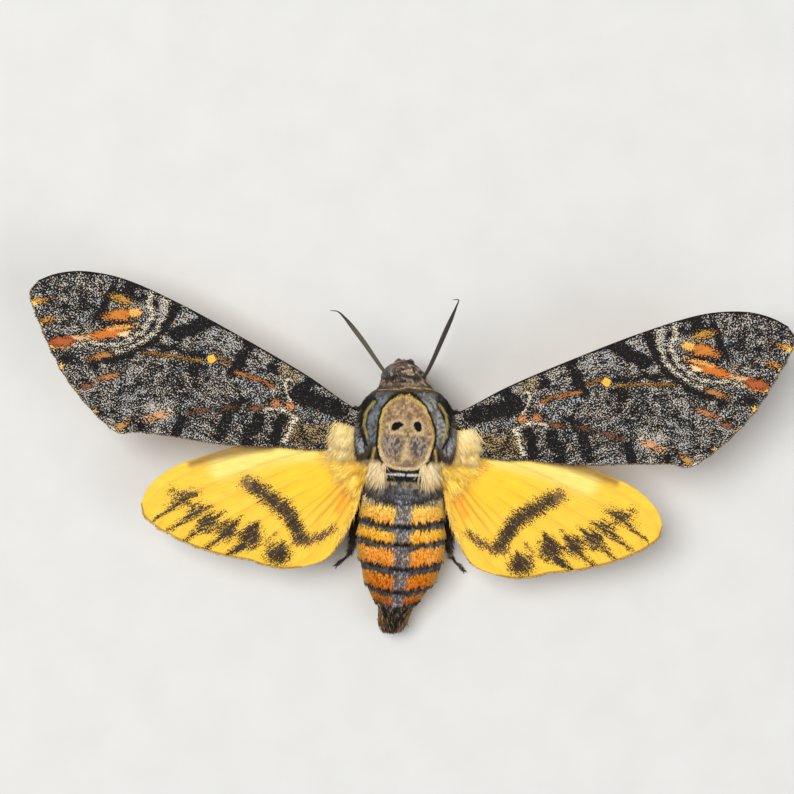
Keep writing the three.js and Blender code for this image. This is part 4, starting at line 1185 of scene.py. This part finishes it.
# The hind wings are the same kind of sheet, softer and golden, with a narrow dark band, and toothed
# dark spots whose tails run along the veins to the scalloped margin.
HINDWING = {
    "hinge": (6.5, -3.5, 11), "rise": 3, "pitch": -5, "camber": 0.6, "scallop": 0.3,
    "front": [(-2.2, 1.4), (4, 2.2), (10, 1.9), (16.5, 0.6), (21, -0.8), (24.3, -2), (27.5, -3.3),
              (30.2, -5.1), (32, -7.2), (32.8, -9.4)],
    "outer": [(32.8, -9.4), (32.3, -11.1), (30.8, -12.5), (28.5, -13.8), (25.5, -15.1), (22.3, -16.1),
              (19.5, -16.7), (16.1, -17.2), (13.8, -17.9), (11.2, -18.3), (8.2, -18)],
    "rear": [(-2.2, -2.6), (-0.8, -3.8), (-0.2, -6), (0.5, -9.2), (1.9, -12), (3.2, -14.8), (4.8, -16.7),
             (8.2, -18)],
    "veins": [(0.06, 0), (0.17, 0), (0.29, 0.42), (0.41, 0.42), (0.53, 0.42), (0.65, 0), (0.77, 0.2),
              (0.9, 0)],
}
BROWN = (52, 37, 27)
HINDWING_MARKS = [
    (line((15.9, -6), (14.6, -6.8), (13.1, -7.9), (11.4, -9), width=(2.3, 2.6), soft=1.5), BROWN),
    (line((17.1, -5.4), (15.4, -6.5), width=1.9, soft=1.6), (104, 80, 50)),
    (line((11.4, -9), (10.3, -10.3), (9.3, -11.8), (8.6, -13.4), width=(2.5, 2.2), soft=1.1), BROWN),
    (line((8.9, -13.9), (7.4, -14), (5.3, -13), (3.6, -11.8), width=(1.8, 0.8), soft=1.2), (84, 60, 44)),
    (line((28.2, -7.2), (26.5, -8.2), (24.4, -10), (22.4, -11.6), (19.8, -12.8), (16.5, -13.7),
          width=(0.6, 1), soft=1.6), BROWN),
    (oval(26.3, -8.2, 1.9, 0.9, -26, soft=1.5), BROWN),
    (line((24.2, -7.1), (26.2, -8.2), width=(0.1, 1.2), soft=0.8), BROWN),
    (line((26.6, -8.6), (30.9, -11.9), width=(0.8, 0.25), soft=0.6), BROWN),
    (oval(24.3, -10.1, 1.4, 1.1, -30, soft=1.5), BROWN),
    (line((21.9, -9), (24, -10.1), width=(0.1, 1.3), soft=0.8), BROWN),
    (line((24.6, -10.5), (28.5, -13.2), width=(1, 0.4), soft=0.9), BROWN),
    (oval(22.6, -11.7, 1.6, 1.4, -30, soft=1.5), BROWN),
    (line((20, -9.9), (22.4, -11.5), width=(0.1, 1.5), soft=0.8), BROWN),
    (line((23, -12.1), (25.8, -14.6), width=(1.3, 0.5), soft=0.9), BROWN),
    (oval(19.7, -12.9, 1.7, 1.5, -35, soft=1.4), BROWN),
    (line((17.5, -10.5), (19.4, -12.6), width=(0.1, 1.7), soft=0.7), BROWN),
    (line((20, -13.4), (22.8, -15.8), width=(1.4, 0.6), soft=0.9), BROWN),
    (oval(16.2, -13.7, 2.0, 1.7, -30, soft=1.5), BROWN),
    (line((14.8, -10.9), (16, -13), width=(0.1, 2.4)), BROWN),
    (line((16.9, -14.8), (19.4, -16.5), width=(1.6, 0.7), soft=0.8), BROWN),
    (oval(17, -14.6, 0.8, 0.5, -30), (150, 142, 120)),
    (oval(11.9, -16.2, 1.9, 1.75, soft=1.6), BROWN),
    (line((11, -14.2), (11.6, -15.6), width=(0.3, 2)), BROWN),
    (oval(11.9, -16.6, 1, 0.55), (160, 154, 140)),
    (line((12.3, -13), (14.3, -14.8), width=0.3, soft=0.9), (120, 92, 50)),
]


def hindwing_upper(at):
    shadow = stroke(at, [(14, 0.6), (18, -0.3), (22, -1.6), (25.5, -3)], (2.4, 1))
    folds = [stroke(at, ends, (0.5, 0.1)) for ends in (
        [(1.2, -3.2), (8.2, -10.8)], [(0.8, -3.6), (6.4, -11)],
        [(0.6, -4.4), (4.9, -11.2)], [(0.4, -5.5), (3.4, -11)],
    )]
    ground = paint(
        (250, 198, 60),
        ((252, 198, 44), inked(spot(at, (8, -5), (5, 3.5)), 3)),
        ((250, 224, 122), 0.9 * inked(stroke(at, [(6, 0.6), (14, -0.6), (21, -3.2)], 3.6), 2.4)),
        ((255, 222, 130), inked(spot(at, (1, -0.5), (3.4, 2.4)), 2)),
        ((236, 160, 36), 0.7 * inked(stroke(at, [(1.5, -5), (3, -9)], 1.2), 1)),
        ((128, 98, 52), 0.85 * inked(shadow, 1.2)),
        *[((214, 130, 30), 0.75 * inked(fold, 0.35)) for fold in folds],
        ((120, 90, 52), 0.8 * inked(stroke(at, HINDWING["outer"], 0.35), 0.35)),
    )
    edge, tint = marks_at(at, HINDWING_MARKS)
    return {"ground": ground, "edge": edge, "tint": tint, "fibre": fanned(at, 22, 0)}


def hindwing_under(at):
    """The underside is the same, paler, and its streaks aren't those of the upper side."""
    upper = hindwing_upper(at)
    return {
        "ground": paint(upper["ground"], ((230, 190, 104), 0.6)),
        "edge": upper["edge"] + 0.12,
        "tint": paint(upper["tint"], ((140, 106, 64), 0.6)),
        "fibre": fanned(at, 22, 30),
    }


hindwing_finishes = [golden_finish("hindwing_golden_scales"), under_scales]
for word, sweep in (("left", 0.4), ("right", -0.4)):
    upper_grids["hindwing", word] = build_wing(
        "hindwing", word, HINDWING, sweep, 150, 104, hindwing_upper, hindwing_under, hindwing_finishes)


# Each wing has a fringe of short scales along its outer and rear margins, and long silky hair at its
# root, where the wing joins the thorax.
fringe_scales = fur_finish("wing_fringe", 0.5, 0.05, 0.3)
root_silk = fur_finish("wing_root_silk", 0.42, 0.15, 0.12)


def fringe(name, margin, inner, seed, tones, power):
    """Short locks along a wing's margin, away from the inner row, in two mixed tones."""
    rng = np.random.default_rng(seed)
    points, outwards = margin - (0, 0, 0.06), margin - inner
    run = run_along(points)
    count = int(run[-1] / 0.05)
    at = np.sort(rng.random(count)) * run[-1]
    root, lie = (np.stack([np.interp(at, run, column) for column in v.T], 1) for v in (points, outwards))
    lie = unit(lie) + rng.normal(0, 0.12, lie.shape)
    normal = np.repeat([(0, 0, 1.0)], count, axis=0)
    run_share = at / run[-1]
    ends = np.minimum(ramp(run_share, 0, 0.1), ramp(1 - run_share, 0, 0.1))
    long = 0.42 * rng.uniform(0.6, 1.2, count) * (0.3 + 0.7 * ends)
    locks, blades, share, side_of = comb(root - unit(lie) * 0.15, normal, lie, long, 0.16, 0.05, 0.5, 2)
    each = len(locks) // count
    tint = np.repeat(paint(tones[0], (tones[1], rng.random(count) ** power)), each, axis=0)
    unwrap = np.stack([np.repeat(run_share, each) * 0.98 + 0.01 + side_of * 0.0015, share * 0.05 + 0.4], 1)
    piece = build(name, locks, [blades], unwrap, [fringe_scales], {"tint": tint, "share": share})
    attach(piece, "root")


def root_hair_colour(root, normal):
    return paint((255, 236, 176), ((255, 220, 130), flecks(root, 0.5, 91, 0.4, 0.7)))


def gold_hair_colour(root, normal):
    return paint((255, 221, 101), ((255, 202, 59), flecks(root, 0.5, 92, 0.4, 0.7)))


def from_thorax(root):
    """Hair on the hind wing lies away from the thorax."""
    side = np.sign(root[:, 0])
    return np.stack([root[:, 0] - 4 * side, root[:, 1] + 2, 0 * side], 1)


for side, word in ((-1, "left"), (1, "right")):
    for kind, tones, power in (
        ("forewing", [(58, 46, 38), (176, 150, 108)], 3),
        ("hindwing", [(216, 176, 96), (120, 86, 44)], 2),
    ):
        upper = upper_grids[kind, word][0]
        fringe(f"{kind}_outer_fringe_{word}", upper[-1], upper[-6], 160 + side, tones, power)
        fringe(f"{kind}_rear_fringe_{word}", upper[:, -1], upper[:, -6], 160 + side, tones, power)
    upper, out, across, along = upper_grids["forewing", word]
    zone = inked(along - 0.09, 0.04) * ramp(across, 0.32, 0.5)
    coat(f"forewing_root_hair_{word}", upper, out, zone, 4600, 170 + side, leaning(0.5, -1, -0.12), 2.6, 0.09,
         0.12, root_hair_colour, root_silk, rings=3, closed=False, ridge=0.2)
    upper, out, across, along = upper_grids["hindwing", word]
    zone = inked(along - 0.17, 0.12) + 0.4 * inked(along - 0.5, 0.2) * ramp(across, 0.93, 0.98)
    coat(f"hindwing_root_hair_{word}", upper, out, zone, 4800, 180 + side, from_thorax, 2.4, 0.08, 0.05,
         gold_hair_colour, root_silk, rings=3, closed=False, stray=0.12, ridge=0.2)


# The floor is a plain pale sheet, and the light is one broad soft lamp from the upper left with a fill.
floor_mesh = bpy.data.meshes.new("floor")
floor_mesh.from_pydata([(-6, -6, 0), (6, -6, 0), (6, 6, 0), (-6, 6, 0)], [], [(0, 1, 2, 3)])
floor = bpy.data.objects.new("floor", floor_mesh)
bpy.context.scene.collection.objects.link(floor)
finish, shade, coat_with = new_finish("floor_paper")
grain = shade.node("TexCoord", out=3).speckle(4 * MM, 3)
coat_with({
    "Base Color": grain.between(hue(214, 213, 210), hue(224, 223, 220)),
    "Roughness": 0.8,
    "Specular IOR Level": 0.1,
})
floor_mesh.materials.append(finish)
floor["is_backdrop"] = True

world = bpy.data.worlds.new("studio")
bpy.context.scene.world = world
world.use_nodes = True
world.node_tree.nodes["Background"].inputs[0].default_value = (0.95, 0.97, 1, 1)
world.node_tree.nodes["Background"].inputs[1].default_value = 0.3
for name, place, size, power in (("key", (-0.36, 0.2, 1.1), 0.6, 11.3), ("fill", (0.8, -0.4, 0.9), 0.9, 4.8)):
    lamp = bpy.data.lights.new(name, "AREA")
    lamp.size = size
    lamp.energy = power
    light = bpy.data.objects.new(name, lamp)
    bpy.context.scene.collection.objects.link(light)
    light.location = place
    aim = np.array([0, 0.02, 0.01]) - place
    light.rotation_euler = (math.acos(aim[2] / np.linalg.norm(aim)) - math.pi, 0, math.atan2(aim[0], -aim[1]))


# The photograph looks straight down on the moth, turned a little, from about a third of a metre.
lens = bpy.data.cameras.new("camera")
lens.lens = 100
lens.sensor_width = 36
lens.clip_start = 0.01
camera = bpy.data.objects.new("camera", lens)
bpy.context.scene.collection.objects.link(camera)
camera.location = (-1.46 * MM, 26.4 * MM, 343.8 * MM)
camera.rotation_euler = (0, 0, math.radians(2.2))
bpy.context.scene.camera = camera
bpy.context.scene.view_settings.view_transform = "Standard"

low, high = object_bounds()
